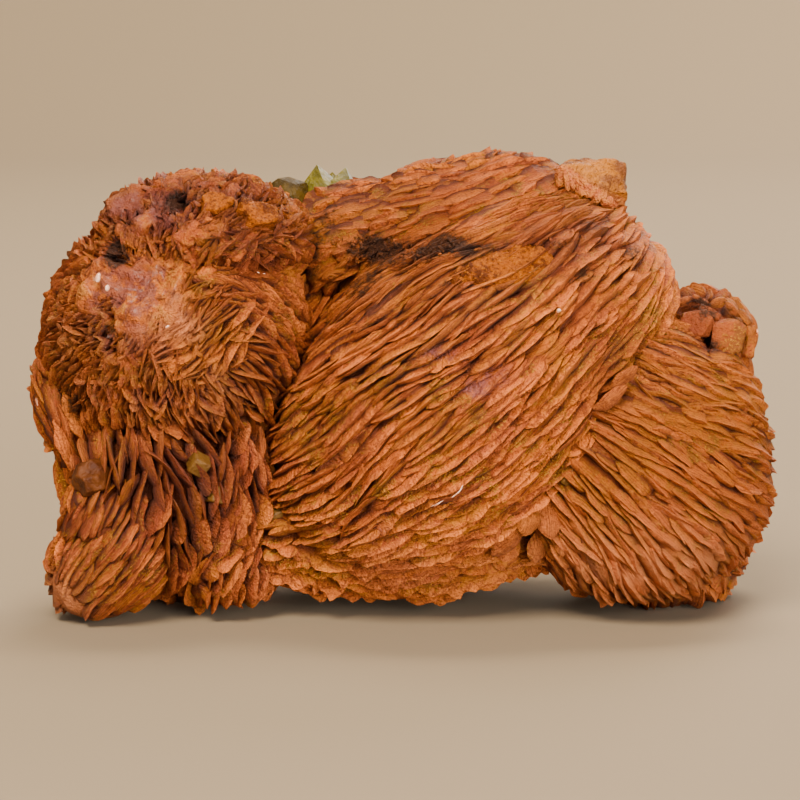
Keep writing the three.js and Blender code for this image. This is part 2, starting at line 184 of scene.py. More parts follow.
# Holes: where they open, how wide across and up, and how deep, in mm.
pits = [((-41.2, -15.5, 54.2), (1.2, 1.5), 6.5), ((-32.5, -10.8, 61), (1.7, 1.2), 5),
        ((-27.5, -16.5, 56), (1.1, 0.6), 2), ((16, -15.2, 13.2), (2.0, 1.5), 4.5),
        ((-42, -19.5, 43.5), (0.9, 2.4), 3.5), ((42.3, -4, 45.4), (3.8, 1.3), 3.0),
        ((43.9, -5.4, 40.2), (0.8, 1.4), 2)]
pitRim = 1.45  # no blade grows within this many widths of a hole
pitSpots = [(at, (pitRim * width[0], 9, pitRim * width[1])) for at, width, deep in pits]


def unit(v):
    # a vector over its own length
    return v / np.maximum(np.linalg.norm(v, axis=-1, keepdims=True), 1e-12)


def dot(a, b):
    # the scalar product of each pair of vectors
    return (a * b).sum(-1, keepdims=True)


def vectors(*parts):
    # vectors out of arrays of their parts, spread to one shape
    return np.stack(np.broadcast_arrays(*parts), -1)


lobes = {name: usual | lobe for name, lobe in lobes.items()}
for lobe in lobes.values():
    tilt = math.radians(lobe["turn"])  # matrix: the ellipsoid's radii, then its turn about Y
    turned = np.array([[math.cos(tilt), 0, -math.sin(tilt)], [0, 1, 0],
                       [math.sin(tilt), 0, math.cos(tilt)]])
    lobe["matrix"] = turned @ np.diag(np.array(lobe["radii"], float))
    lobe["inverse"] = np.linalg.inv(lobe["matrix"])
    for key in ("at", "spineAt", "spine"):
        lobe[key] = np.array(lobe[key], float)


def surfaceAt(lobe, direction):
    # unit sphere to ellipsoid, then out along the normal by the product of three slow sines
    point = lobe["at"] + direction @ lobe["matrix"].T
    normal = unit(direction @ lobe["inverse"])
    rise = swell["height"] * np.prod(np.sin(swell["pitch"] * point + swell["phase"]), axis=-1)
    return point + normal * rise[..., None], normal


def ontoLobe(lobe, points):
    # a point near the lobe to the surface point in the same direction from the lobe's middle
    return surfaceAt(lobe, unit((points - lobe["at"]) @ lobe["inverse"].T))


def depthInOthers(name, points):
    # the least, over the other lobes, of a depth that is 1 on a lobe's surface and 0 at its middle
    return np.min([np.linalg.norm((points - lobe["at"]) @ lobe["inverse"].T, axis=-1)
                   for key, lobe in lobes.items() if key != name], axis=0)


randomTable = np.random.default_rng(5).uniform(-1, 1, 4096)


def noise(points, size, seed):
    # random numbers from -1 to 1 on a lattice of that size, blended smoothly between its corners
    cell = points / size + 500.37 + 17.13 * seed
    low = np.floor(cell).astype(np.int64)
    part = cell - low
    part = part * part * (3 - 2 * part)
    total = np.zeros(points.shape[:-1])
    for corner in product((0, 1), repeat=3):
        x, y, z = (low[..., k] + corner[k] for k in range(3))
        weight = np.prod([part[..., k] if corner[k] else 1 - part[..., k] for k in range(3)], axis=0)
        total += weight * randomTable[(x * 73856093 ^ y * 19349663 ^ z * 83492791) & 4095]
    return total


def noises(points, layers):
    # noise of several sizes, each times its share, added up
    return sum(share * noise(points, size, seed) for share, size, seed in layers)


def wander(points, size, seeds):
    # a noise for each axis
    return np.stack([noise(points, size, seed) for seed in seeds], -1)


def lineOf(at, along, long, u):
    # points along straight lines through at, from u = -1 at one end to 1 at the other
    return at[:, None] + along[:, None] * (long[:, None] / 2 * u)[..., None]


def laidOut(line, side, out, x, y, rough, size):
    # each point of a line, x further along side and y along out, roughened and none below the floor
    points = line[:, :, None] + side[:, :, None] * x[..., None] + out[:, :, None] * y[..., None]
    points = points + rough * wander(points, size, (7, 8, 9))
    points[..., 2] = np.maximum(points[..., 2], lowest)
    return points


def inSpots(points, spots):
    # the distance to each spot's middle over its width, the least of them: below 1 is inside
    return np.min([np.linalg.norm((points - np.array(at)) / np.array(width), axis=-1)
                   for at, width in spots], axis=0)


def bells(points, spots):
    # the sum of each spot's strength times a bell of the distance over its width
    total = np.zeros(points.shape[:-1])
    for at, width, much in spots:
        total = total + much * np.exp(-(((points - np.array(at)) / np.array(width)) ** 2).sum(-1))
    return total


def crustAt(points):
    # 1 in the crust, falling to 0 around it
    return np.clip(1.5 - 1.2 * inSpots(points, crustSpots), 0, 1)


def gapsAt(points):
    # the bells of the gaps, 1 at most, and broken up
    return np.clip(bells(points, gapSpots) * (1 + 0.5 * noise(points, 4, 25)), 0, 1)


def wornAt(points):
    # 1 in the worn middle, falling to 0 around it
    return np.clip(1.6 - 1.2 * inSpots(points, wornSpots), 0, 1)


growth = {
    "tries": 6, "crustTries": 9,  # per mm2
    "oval": (0.4, 4),  # its half length over a blade's length, and how deep it is in mm
    "clear": 0.3, "foot": 0.9,  # mm, how far out of the other lobes and above the floor they start
    "under": 4, "facingDown": -0.75,  # none starts below this height in mm with its normal's Z less
    "turnedBelow": 18, "turnedOver": 8,  # mm: lowTurned starts here and is full this much lower
    "crustStray": 16, "long": (0.5, 1.4),  # degrees, and a blade's length over its lobe's
    "inCrust": (0.5, 0.4), "inGaps": 0.3,  # how much shorter and closer in the crust, further in gaps
}


def growBlades():
    # Points are thrown evenly on the lobes' outer surface, and one is kept unless it falls within the
    # oval about a kept one: a share of its length along the blade, and apart across it.
    found = []
    for index, (name, lobe) in enumerate(lobes.items()):
        crusted = name in crustedLobes
        area = 4 * math.pi * np.prod(lobe["radii"]) ** (2 / 3)
        tries = int(area * growth["crustTries" if crusted else "tries"])
        direction = unit(draw.normal(size=(tries, 3)))
        stretch = np.linalg.norm(direction @ lobe["inverse"], axis=-1)
        direction = direction[draw.uniform(0, 1, len(direction)) < stretch / stretch.max()]
        point, normal = surfaceAt(lobe, direction)
        height = point[:, 2]
        bare = inSpots(point, bareSpots) + 0.25 * noise(point, 2.5, 21)
        keep = (depthInOthers(name, point + growth["clear"] * normal) > 1) & (bare > 1)
        keep &= ~((normal[:, 2] < growth["facingDown"]) & (height < growth["under"]))
        keep &= height > growth["foot"]
        keep &= inSpots(point, pitSpots) > 1
        point, normal = point[keep], normal[keep]
        across = unit(np.cross(lobe["spine"], point - lobe["spineAt"]))
        along = unit(np.cross(normal, across))
        if "grain" in lobe:
            spot, width, way = (np.array(x, float) for x in lobe["grain"])
            inside = inSpots(point, [(spot, width)]) + draw.normal(0, 0.1, len(point)) < 1
            along = np.where(inside[:, None], unit(way - normal * dot(way, normal)), along)
        crust = crustAt(point) if crusted else np.zeros(len(point))
        stray = draw.normal(0, 1, len(point)) * (lobe["stray"] + growth["crustStray"] * crust)
        turn = np.radians(lobe["flow"] * 1.5 * noise(point, 9, 2) + stray)[:, None]
        low = np.clip((growth["turnedBelow"] - point[:, 2:]) / growth["turnedOver"], 0, 1)
        turn = turn + np.radians(lobe["turned"] + lobe["lowTurned"] * low)
        side = np.cross(normal, along)
        along = along * np.cos(turn) + side * np.sin(turn)
        shorter, closer = growth["inCrust"]
        long = lobe["long"] * draw.uniform(*growth["long"], len(point)) * (1 - shorter * crust)
        apart = lobe["apart"] * (1 - closer * crust) * (1 + growth["inGaps"] * gapsAt(point))
        found.append((np.full(len(point), index), point, normal, along, long, apart))
    found = [np.concatenate(x) for x in zip(*found)]
    order = draw.permutation(len(found[0]))
    index, point, normal, along, long, apart = (x[order] for x in found)
    free = np.ones(len(index), bool)
    halfLong, deep = growth["oval"]
    kept = []
    for i in range(len(index)):
        if free[i]:
            kept.append(i)
            step = point[i + 1:] - point[i]
            a, n = step @ along[i], step @ normal[i]
            b2 = (step**2).sum(1) - a**2 - n**2
            near = (a / (halfLong * long[i])) ** 2 + b2 / apart[i] ** 2 + (n / deep) ** 2 < 1
            free[i + 1:] &= ~near
    kept = np.array(kept)
    print(len(index), "places tried,", len(kept), "blades")
    return index[kept], point[kept], normal[kept], along[kept], long[kept]


bladeAt = growBlades()
blade = {
    "along": 11, "crest": 2, "across": np.array([-1, -0.5, 0, 0.5, 1.0]),  # the grid and its crest's line
    "root": 1.5, "edge": 0.5, "ends": 0.7,  # mm below the lobe: the root, the edges, the crest's ends
    "falls": np.array([0.55, -0.2, -0.8]),  # the way that the narrow side faces
    "inPage": 0.7, "leans": 6, "twists": 12,  # share of its plane; degrees
    "high": (0.4, 1.35), "wide": (0.5, 1.4), "taper": (1.6, 3.6), "skew": (0, 0.85),
    "bend": 0.05, "slant": 0.15,  # over its length, and over its height
    "inCrust": 0.45, "whereWorn": 0.65, "inGaps": 0.3,  # how much finer, lower and higher it is there
    "hangs": (0.2, 1.3), "ridges": 0.2, "rough": 0.13,  # over hang, and mm
    "tone": (0.5, 0.3, 0.2),  # the middle, and how far neighbours and single blades stray from it
}


def bladesOf(name):
    # Each blade is a closed tube laid on its lobe. Across it, the height falls from a sharp crest as
    # 1 - |v|^1.3 to the edges, below the surface; along it, height and width fall to the two ends.
    # The crest lies nearer the side that faces down, so the other side is the broad one.
    lobe, crusted = lobes[name], name in crustedLobes
    mine = bladeAt[0] == list(lobes).index(name)
    at, normal, along, long = (x[mine] for x in bladeAt[1:])
    count = len(at)
    u, v = np.linspace(-1, 1, blade["along"]), blade["across"]
    side = np.cross(normal, along)
    bend = draw.normal(0, blade["bend"], count)[:, None] * long[:, None]
    path = lineOf(at, along, long, u) + side[:, None] * (bend * (u**2 - 0.3))[..., None]
    point, normal = ontoLobe(lobe, path)
    along = unit(np.gradient(point, axis=1))
    page = unit(np.cross(lobe["spine"], point - lobe["spineAt"]))
    out = unit(normal - blade["inPage"] * page * dot(normal, page))
    side = unit(np.cross(out, along))
    out = np.cross(along, side)
    falling = np.sign(side @ blade["falls"]).mean(1, keepdims=True)
    lean = draw.normal(blade["leans"], lobe["lean"], count)[:, None] * falling
    lean = np.radians(lean + draw.normal(0, blade["twists"], count)[:, None] * u)[..., None]
    out, side = out * np.cos(lean) + side * np.sin(lean), side * np.cos(lean) - out * np.sin(lean)
    fine = (1 - blade["inCrust"] * crustAt(at) if crusted else np.ones(count))[:, None]
    worn = (wornAt(at) if name == "rosette" else np.zeros(count))[:, None]
    high = lobe["high"] * draw.uniform(*blade["high"], count)[:, None] * fine
    high = high * (1 - blade["whereWorn"] * worn) * (1 + blade["inGaps"] * gapsAt(at))[:, None]
    wide = lobe["wide"] * draw.uniform(*blade["wide"], count)[:, None] * fine
    taper = draw.uniform(*blade["taper"], count)[:, None] * lobe["blunt"]
    ids = draw.uniform(0, 900, count)[:, None]
    track = vectors(u * long[:, None] / 2, ids, 3 * ids)
    width = wide * (1 - np.abs(u) ** (taper + 0.4)) ** 0.7 * (1 + 0.25 * noise(track, 1.5, 3))
    crest = (high + blade["ends"]) * (1 - np.abs(u) ** taper) ** 0.8 - blade["ends"]
    crest = crest + 0.3 * high * noise(track, 1.2, 4)
    crest = crest + draw.normal(0, blade["slant"], count)[:, None] * high * u
    if lobe["hang"]:
        down = -np.sign(along[..., 2].mean(1, keepdims=True)) * u
        free = lobe["hang"] * np.clip(down, -0.2, 1) ** 2 * draw.uniform(*blade["hangs"], count)[:, None]
        point = point + out * free[..., None]
    skew = (falling * draw.uniform(*blade["skew"], count)[:, None])[..., None]
    x = v + skew * (1 - v**2)
    shape = 1 - np.abs(v) ** 1.3
    lower = np.minimum(crest, 0)[..., None] - blade["edge"]
    y = lower + (crest[..., None] - lower) * shape
    ridge = vectors(v * 1.3, u[:, None] * long[:, None, None] * 0.12, ids[..., None])
    y = y + blade["ridges"] * noise(ridge, 0.6, 6) * shape
    x = np.concatenate([np.broadcast_to(x, y.shape), np.zeros((*y.shape[:2], 1))], -1)
    root = -blade["root"] * (1 - u**6) - 0.3
    y = np.concatenate([y, np.broadcast_to(root[:, None], (*y.shape[:2], 1))], -1)
    x = 0.5 * width[..., None] * x
    points = laidOut(point, side, out, x, y, blade["rough"], 1.3)
    middle, together, alone = blade["tone"]
    tone = middle + lobe["tint"] + together * noise(at, 5, 1) + draw.normal(0, alone, count)
    uv = vectors((u * long[:, None] / 2 + 1.7 * ids)[..., None], x + 0.6 * y + 0.37 * ids[..., None])
    # crest is the height over the skin; the material paints shade where it is low
    values = {"tone": np.broadcast_to(tone[:, None, None], y.shape),
              "crest": np.clip((y + 0.3) / (lobe["high"] + 0.3), -0.3, 1.5), "sheets": np.ones(y.shape)}
    return points, uv, values


# Patches of colour: where, how wide in mm, and how strong.
patches = {
    # stain is partly real, the crown's dark band and dark streaks, and partly painted shade: the black
    # inside the pits and the knob's pit, and the dark at the joins between rosette, crown and centre.
    "stainAndShade": [((-41.2, -15.5, 54.2), (1.3, 9, 1.6), 3.0), ((-32.5, -10.8, 61), (1.7, 9, 1.3), 1.5),
              *((at, (1.3, 9, 1.2), 0.8) for at, width, deep in pits[2:]),
              ((-8, -4, 53.5), (5, 6, 2.2), 0.45), ((-3, -6.5, 53.6), (5, 6, 2.2), 0.8),
              ((3.4, -11.5, 55), (5.5, 6, 2.2), 0.95), ((9, -15, 54.8), (4, 6, 1.1), 0.6),
              ((-14, -1, 54), (2.5, 5, 4), 0.6), ((-7.6, -8, 48.6), (3.5, 6, 1.2), 0.6),
              ((-4.5, -8, 50.1), (3.5, 6, 1.0), 0.55), ((6.6, -18, 50.3), (4, 6, 0.9), 0.6),
              ((24.2, -20, 51.8), (3, 5, 1.6), 0.55), ((26, -12.5, 58.8), (3.5, 5, 1.8), 0.65),
              ((32, -13, 54.4), (1.5, 5, 2.2), 0.55), ((42, -18, 26.6), (2.5, 5, 1.2), 0.45),
              ((22.5, -18, 56), (4, 5, 1.2), 0.5), ((-48, -11, 33), (3.0, 4, 3.5), 0.7),
              ((43, -4, 44.9), (3.5, 4, 1.4), 0.9), ((-11.5, 1, 58.5), (2, 5, 2.5), 0.6)],
    # shade is painted shade: each patch darkens its place towards the deep colour, standing in for shadow in
    # recesses, under overhangs and on dim sides.
    "shade": [((-39.5, -8, 60), (6, 6, 3), 1.0), ((-25, -18, 38), (6, 8, 6), 0.4),
              ((-31, -18, 22), (9, 8, 6), 0.6), ((38, -18, 24), (12, 8, 9), 0.3),
              ((2, -15, 8), (24, 9, 5), 0.35), ((-30, -9, 60), (14, 9, 5.5), 1.0),
              ((29, -16, 40), (6, 9, 12), 0.75), ((21, -15.5, 57), (7, 7, 3.5), 0.85),
              ((41.5, -7, 42.5), (3, 4, 2.5), 0.4), ((44, -3, 43), (7, 7, 6), 0.8),
              ((13, -18, 53), (7, 4, 2.4), 0.45), ((-21, -12, 53), (6, 8, 7), 0.8),
              ((-18, -12, 41), (3.5, 8, 9), 0.4), ((-47, -12, 41), (4, 6, 7), 0.5),
              ((-39, -18, 39), (5, 6, 3), 0.4), ((-13, -6, 51), (4, 6, 3), 0.8),
              ((-2, -6, 53.5), (10, 8, 3), 0.7), ((26, -13, 58), (4, 6, 2.5), 0.5),
              ((17, -19, 55.5), (9, 6, 2), 0.5), ((-30, -14, 24), (12, 10, 7), 0.5)],
    # pale is partly worn pale barite, round the rosette's middle, on the cone's tip and beside the block,
    # and partly painted light: the patches low on the fan, on the keel and low on the rosette's left lighten
    # places that the lamps leave dim.
    "pale": [((-33.3, -22.5, 44.3), (3.6, 5, 2.5), 0.8), ((-34, -21, 48.5), (2.2, 5, 1.5), 0.4),
             ((-31, -21, 44.5), (2.2, 5, 1.3), 0.35), ((-35, -20, 53), (2.2, 5, 1.3), 0.25),
             ((-51, -15, 3.5), (5, 8, 5), 0.6), ((-43, -18, 50), (2.6, 5, 1.8), 0.3),
             ((24.5, -4, 63), (2.5, 4, 3), 0.3), ((35, -17, 9), (15, 14, 7), 0.8),
             ((-47, -12, 40), (6, 8, 6), 0.3), ((-30, -16, 33), (10, 8, 5), 0.25),
             ((2, -16, 8), (22, 12, 5), 0.1)],
    "dusty": [((-33, -12, 60), (4, 5, 3), 0.8), ((-38, -9, 60.5), (4, 5, 2), 0.9),
              ((8.7, -26, 36), (5.5, 5, 2.0), 0.85), ((4.5, -24, 41), (5, 5, 1.3), 0.7),
              ((13, -26, 38.5), (3.5, 5, 1.6), 0.55), ((1.5, -24, 43.5), (3, 5, 1), 0.5),
              ((-1, -20, 15), (8, 5, 2.5), 0.4), ((40.4, -11, 38.6), (3, 5, 4), 0.55),
              ((46, -3, 37), (2, 5, 5), 0.7), ((-42, -14, 55), (7, 6, 5), 0.5),
              ((-36, -12, 60), (6, 6, 2.5), 0.5), ((-30, -19, 52), (5, 4, 3), 0.3),
              ((-41, -18, 47), (4, 6, 3), 0.35), ((-36, -21, 41), (5, 6, 2.5), 0.4),
              ((-47, -17, 7), (2.5, 5, 4), 0.4), ((-37, -19, 56), (3, 5, 2), 0.5)],
    "ochre": [((29.5, 0, 63), (4, 6, 5), 1.0), ((-41, -8, 62), (2.5, 5, 1.2), 0.6),
              ((13, -18.8, 53), (6, 4, 2), 0.9), ((40, -14, 32), (14, 10, 9), 0.8),
              ((8, -10, 50), (20, 12, 5), 0.4), ((-26, -19, 38), (7, 6, 6), 0.35),
              ((-24, -15, 59.5), (4, 4, 2), 0.9), ((-45, -12, 42), (4, 8, 6), 0.5),
              ((-42, -8, 62), (3, 5, 2), 0.8), ((-33.5, -21, 48), (2, 5, 1.6), 0.7),
              ((-27, -20, 42), (5, 6, 4), 0.6), ((-31, -19, 34), (8, 6, 4), 0.5),
              ((-41, -19, 42), (2.5, 5, 2), 0.8), ((-16.5, -9, 60), (3, 5, 2), 0.8)],
}


def patchesAt(points):
    # the bells of each name, broken up and 1 at most, and how worn and how open the rows are
    broken = 1 + 0.7 * noise(points, 2.5, 3)
    found = {name: np.clip(bells(points, spots) * broken, 0, 1) for name, spots in patches.items()}
    return found | {"worn": np.maximum(wornAt(points), 0.45 * crustAt(points)), "gaps": gapsAt(points)}


def tubeFaces(count, along, around):
    # quads of many tubes of the same grid, and one fan at each end
    base = np.arange(count)[:, None, None] * along * around
    i = np.arange(along - 1)[None, :, None] * around
    j = np.arange(around)[None, None, :]
    k = (j + 1) % around
    quads = vectors(base + i + j, base + i + k, base + i + around + k, base + i + around + j)
    first, last = base[:, 0] + j[0, :, ::-1], base[:, 0] + (along - 1) * around + j[0]
    return quads.reshape(-1, 4), np.concatenate([first, last])


def meshPiece(name, grids, material, sharpLines=(), flat=False, replaced="barite_cluster"):
    # grids: (points, uv, values) of tubes, each of shape (count, along, around); joined into one mesh.
    # sharpLines are the lines along the first grid's tubes that stay sharp edges.
    mesh = bpy.data.meshes.new(name)
    allPoints, allUv, allValues, corners, sizes, start = [], [], {}, [], [], 0
    for points, uv, values in grids:
        count, along, around = points.shape[:3]
        quads, caps = tubeFaces(count, along, around)
        corners += [quads.ravel() + start, caps.ravel() + start]
        sizes += [np.full(len(quads), 4), np.full(len(caps), around)]
        points = points.reshape(-1, 3)
        start += len(points)
        allPoints.append(points)
        allUv.append(uv.reshape(-1, 2))
        for key, value in (values | patchesAt(points)).items():
            allValues.setdefault(key, []).append(value.reshape(-1))
    points, uv, corners, sizes = (np.concatenate(x) for x in (allPoints, allUv, corners, sizes))
    mesh.vertices.add(len(points))
    mesh.vertices.foreach_set("co", ((points + shift) * mm).astype(np.float32).ravel())
    mesh.loops.add(len(corners))
    mesh.loops.foreach_set("vertex_index", corners.astype(np.int32))
    mesh.polygons.add(len(sizes))
    mesh.polygons.foreach_set("loop_start", np.concatenate([[0], np.cumsum(sizes)[:-1]]).astype(np.int32))
    mesh.update(calc_edges=True)
    if not flat:
        mesh.shade_smooth()
    if sharpLines:
        ends = np.empty(2 * len(mesh.edges), np.int32)
        mesh.edges.foreach_get("vertices", ends)
        low, high = np.sort(ends.reshape(-1, 2), axis=1).T
        around, known = grids[0][0].shape[2], grids[0][0][..., 0].size
        sharp = np.isin(low % around, sharpLines) & (high - low == around) & (high < known)
        mesh.attributes.new("sharp_edge", "BOOLEAN", "EDGE").data.foreach_set("value", sharp)
    layer = mesh.uv_layers.new(name="UVMap")
    layer.data.foreach_set("uv", uv[corners].astype(np.float32).ravel())
    for key, value in allValues.items():
        attribute = mesh.attributes.new(key, "FLOAT", "POINT")
        attribute.data.foreach_set("value", np.concatenate(value).astype(np.float32))
    mesh.materials.append(material)
    addPiece(name, mesh, replaced)
    print(name, int((sizes - 2).sum()), "triangles")


def addObject(name, data):
    # an object of that data, in the scene
    made = bpy.data.objects.new(name, data)
    bpy.context.scene.collection.objects.link(made)
    return made


def addPiece(name, mesh, replaced):
    # an object of the mesh that rides on the one body and stands for that node
    piece = addObject(name, mesh)
    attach(piece, "root")
    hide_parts(replaced)
    return piece


def sphereGrid(rows, columns):
    # longitude and latitude on a unit sphere, its poles closed to a thousandth of a radian
    down, around = np.meshgrid(np.linspace(0.001, math.pi - 0.001, rows),
                               np.linspace(0, 2 * math.pi, columns, endpoint=False), indexing="ij")
    direction = np.stack([np.sin(down) * np.cos(around), np.sin(down) * np.sin(around), np.cos(down)], -1)
    return down, around, direction


def asOneTube(point, uv, values):
    # a sphere's grid as one tube, its columns turned round so that the faces point outwards
    return point[None, :, ::-1], uv[None, :, ::-1], {k: v[None, :, ::-1] for k, v in values.items()}


# In mm: gap, how much deeper the skin lies in the gaps; rough; pitReach, how far a hole goes into the
# lobe's side; high, of the folds, and moved, how far they are bent; across and down, its size as a
# texture. folds and lumps, of the crust, are the share, size and seed of each noise.
skin = {
    "grid": (45, 90), "crustGrid": (110, 220), "gap": 0.7, "rough": 0.4, "pitReach": 8,
    "high": 1.7, "moved": 1.5, "across": 160, "down": 18,
    "folds": ((0.8, 6.0, 12), (0.7, 3.2, 13), (0.45, 1.7, 14), (0.25, 0.9, 20)),
    "lumps": ((0.8, 4, 22), (1.0, 2.2, 23), (1.1, 1.1, 24)),
}


def skinOf(name):
    # A sphere's longitude and latitude carried to the lobe, sunk a little, with rough noise; where
    # the lobe is crusted, folded noise raises rounded lumps, and each pit pushes it in by its depth.
    lobe, crusted = lobes[name], name in crustedLobes
    down, around, direction = sphereGrid(*skin["crustGrid" if crusted else "grid"])
    point, normal = surfaceAt(lobe, direction)
    rise = skin["rough"] * (noise(point, 3, 5) + 0.6 * noise(point, 1.3, 6)) - lobe["sink"]
    rise = rise - skin["gap"] * gapsAt(point)
    if crusted:
        mask, worn = crustAt(point), wornAt(point)
        moved = point + skin["moved"] * wander(point, 5, (11, 18, 19))
        folds = sum(share * (0.45 - 2 * np.abs(noise(moved, size, seed)))
                    for share, size, seed in skin["folds"])
        lumps = noises(moved, skin["lumps"])
        rise = rise + mask * (skin["high"] * folds * (1 - 0.75 * worn) + 0.7 + worn * (0.7 + 0.75 * lumps))
    inPit = np.zeros(rise.shape)
    for at, width, deep in pits:
        reach = np.array([width[0], skin["pitReach"], width[1]])
        away = (((point - np.array(at)) / reach) ** 2).sum(-1)
        rise = rise - deep * np.clip(1 - away, 0, 1) ** 0.5
        inPit = np.maximum(inPit, np.clip(1.5 - away, 0, 1))
    point = point + normal * rise[..., None]
    point[..., 2] = np.maximum(point[..., 2], lowest)
    # crest, which the material turns into painted shade: lower on skins sunk deep and inside the pits; in
    # the crust it follows the folds and lumps, darker in their hollows
    crest = (0.15 if lobe["sink"] < 0.8 else -0.2) - inPit
    if crusted:
        crest = crest + mask * (0.3 + 0.5 * folds + worn * (0.3 + 0.4 * lumps))
    values = {"tone": 0.4 + lobe["tint"] + 0.3 * noise(point, 3, 2), "crest": crest,
              "sheets": np.zeros(rise.shape)}
    return asOneTube(point, vectors(around * skin["across"], down * skin["down"]), values)


def freeTubes(at, along, out, long, wide, high, grid, pointed, rough, lens=True, seed=0):
    # separate plates and grains: across, two arcs 1 - |x|^1.5 that meet in sharp rims, or an oval
    # where lens is off; along, width and thickness fall to nothing at the ends as (1 - |u|^pointed)^0.6
    u = np.linspace(-1, 1, grid[0])
    around = np.linspace(0, 2 * math.pi, grid[1], endpoint=False)
    along, out = unit(along), unit(out)
    side = unit(np.cross(out, along))
    out = np.cross(along, side)
    ids = np.arange(len(at))[:, None] * 7.31 + seed
    track = vectors(u * long[:, None] / 2, ids, 2.7 * ids)
    edge = np.maximum(1 - np.abs(u) ** pointed, 0) ** 0.6 * (1 + 0.25 * noise(track, 1.5, 3))
    c, s = np.cos(around), np.sin(around)
    arc = np.sign(s) * (1 - np.abs(c) ** 1.5) if lens else s
    x = 0.5 * (wide[:, None] * edge)[..., None] * c
    y = 0.5 * (high[:, None] * edge)[..., None] * np.where(np.abs(s) < 1e-9, 0, arc)
    line = lineOf(at, along, long, u)
    line = line + 0.25 * rough * long[:, None, None] * wander(track, 3, (15, 16, 17))
    points = laidOut(line, side[:, None], out[:, None], x, y, rough, 1.2)
    uv = vectors((u * long[:, None] / 2 + ids)[..., None], x * 1.3 + y + ids[..., None])
    # crest is 1 on the face that out points to and 0.5 on the back, which the material paints darker:
    # painted shade
    values = {"tone": np.broadcast_to((0.5 + 0.3 * np.sin(5 * ids))[..., None], x.shape),
              "crest": np.broadcast_to(0.75 + 0.25 * s, x.shape), "sheets": np.ones(x.shape)}
    return points, uv, values


# Single plates that stand out of the rows: at, which way the face looks, which way it points, and
# length, width and thickness, in mm.
plates = {
    "junctionPlates": [((17, -18, 17.4), (.25, -1, .1), (.15, 0, 1), (6.4, 3.4, 1.4)),
                       ((20, -17, 17), (-.2, -1, .1), (-.1, 0, 1), (7, 3.4, 1.4)),
                       ((18.8, -13, 12), (.3, -1, -.2), (.1, 0, 1), (5, 2.8, 1.3)),
                       ((14.2, -16.5, 13), (.2, -1, -.3), (.8, 0, .7), (6, 3, 1.3)),
                       ((15.5, -17.2, 15.4), (.4, -1, -.1), (.5, 0, 1), (5, 2.2, 1.1)),
                       ((21.5, -15.5, 13.6), (-.3, -1, -.1), (-.3, 0, 1), (5.4, 2.4, 1.2))],
    "flarePlates": [((-50.2, -7, 30), (.5, -1, .1), (-.42, 0, 1), (9, 2.2, 1.1)),
                    ((-51.4, -3.5, 31), (.2, -1, .1), (-.38, 0, 1), (10, 2.4, 1.2)),
                    ((-49.2, -9.5, 26), (.4, -1, 0), (-.3, 0, 1), (9, 2.4, 1.2)),
                    ((-48.2, -10.5, 31), (.3, -1, .1), (-.3, 0, 1), (8, 2.0, 1.1)),
                    ((-49.8, -5, 24), (.6, -1, 0), (-.2, 0, 1), (9, 2.2, 1.2))],
    "ledgePlates": [((28.6, -21.4, 34.5), (.1, -1, .2), (1, 0, .7), (6, 1.9, 1.1)),
                    ((30.4, -20.6, 37.2), (.1, -1, .2), (1, 0, .9), (5, 1.7, 1.0))],
    "knobPlates": [((49.8, -1, 36.6), (.9, -.6, .2), (-.2, .3, 1), (5.5, 2.2, 1.2)),
                   ((49.2, -3.6, 38.6), (.7, -.8, .1), (-.1, 0, 1), (4.6, 1.8, 1.1)),
                   ((47.6, -5.6, 37.0), (.4, -.9, 0), (.1, 0, 1), (4.4, 1.9, 1.1)),
                   ((50.2, -2.2, 42.4), (.8, -.6, .4), (-.3, .2, 1), (4.0, 1.9, 1.2)),
                   ((49.0, -3.8, 43.8), (.5, -.8, .4), (-.8, 0, 1), (3.2, 1.7, 1.1)),
                   ((47.2, -3.6, 45.0), (.3, -.7, .7), (.9, 0, -.9), (3.0, 1.7, 1.2)),
                   ((45.0, -2.8, 45.8), (.2, -.6, .7), (1, .2, .4), (2.8, 1.6, 1.2)),
                   ((42.6, -2.4, 46.1), (0, -.5, .8), (1, .2, -.5), (3.0, 1.8, 1.2)),
                   ((40.2, -1.9, 45.9), (-.2, -.6, .7), (1, 0, .6), (2.8, 1.6, 1.1)),
                   ((38.4, -3.2, 44.8), (-.4, -.8, .4), (.4, 0, 1), (3.0, 1.6, 1.1)),
                   ((50.2, -4.4, 40.2), (.7, -.8, .2), (.4, 0, 1), (2.6, 1.5, 1.0))],
}


def platesOf(name):
    # the plates of that name, each a lens across and pointed along
    at, out, along, size = (np.array(x, float) for x in zip(*plates[name]))
    return freeTubes(at, along, out, *size.T, grid=(17, 14), pointed=2.2, rough=0.16, seed=len(name))


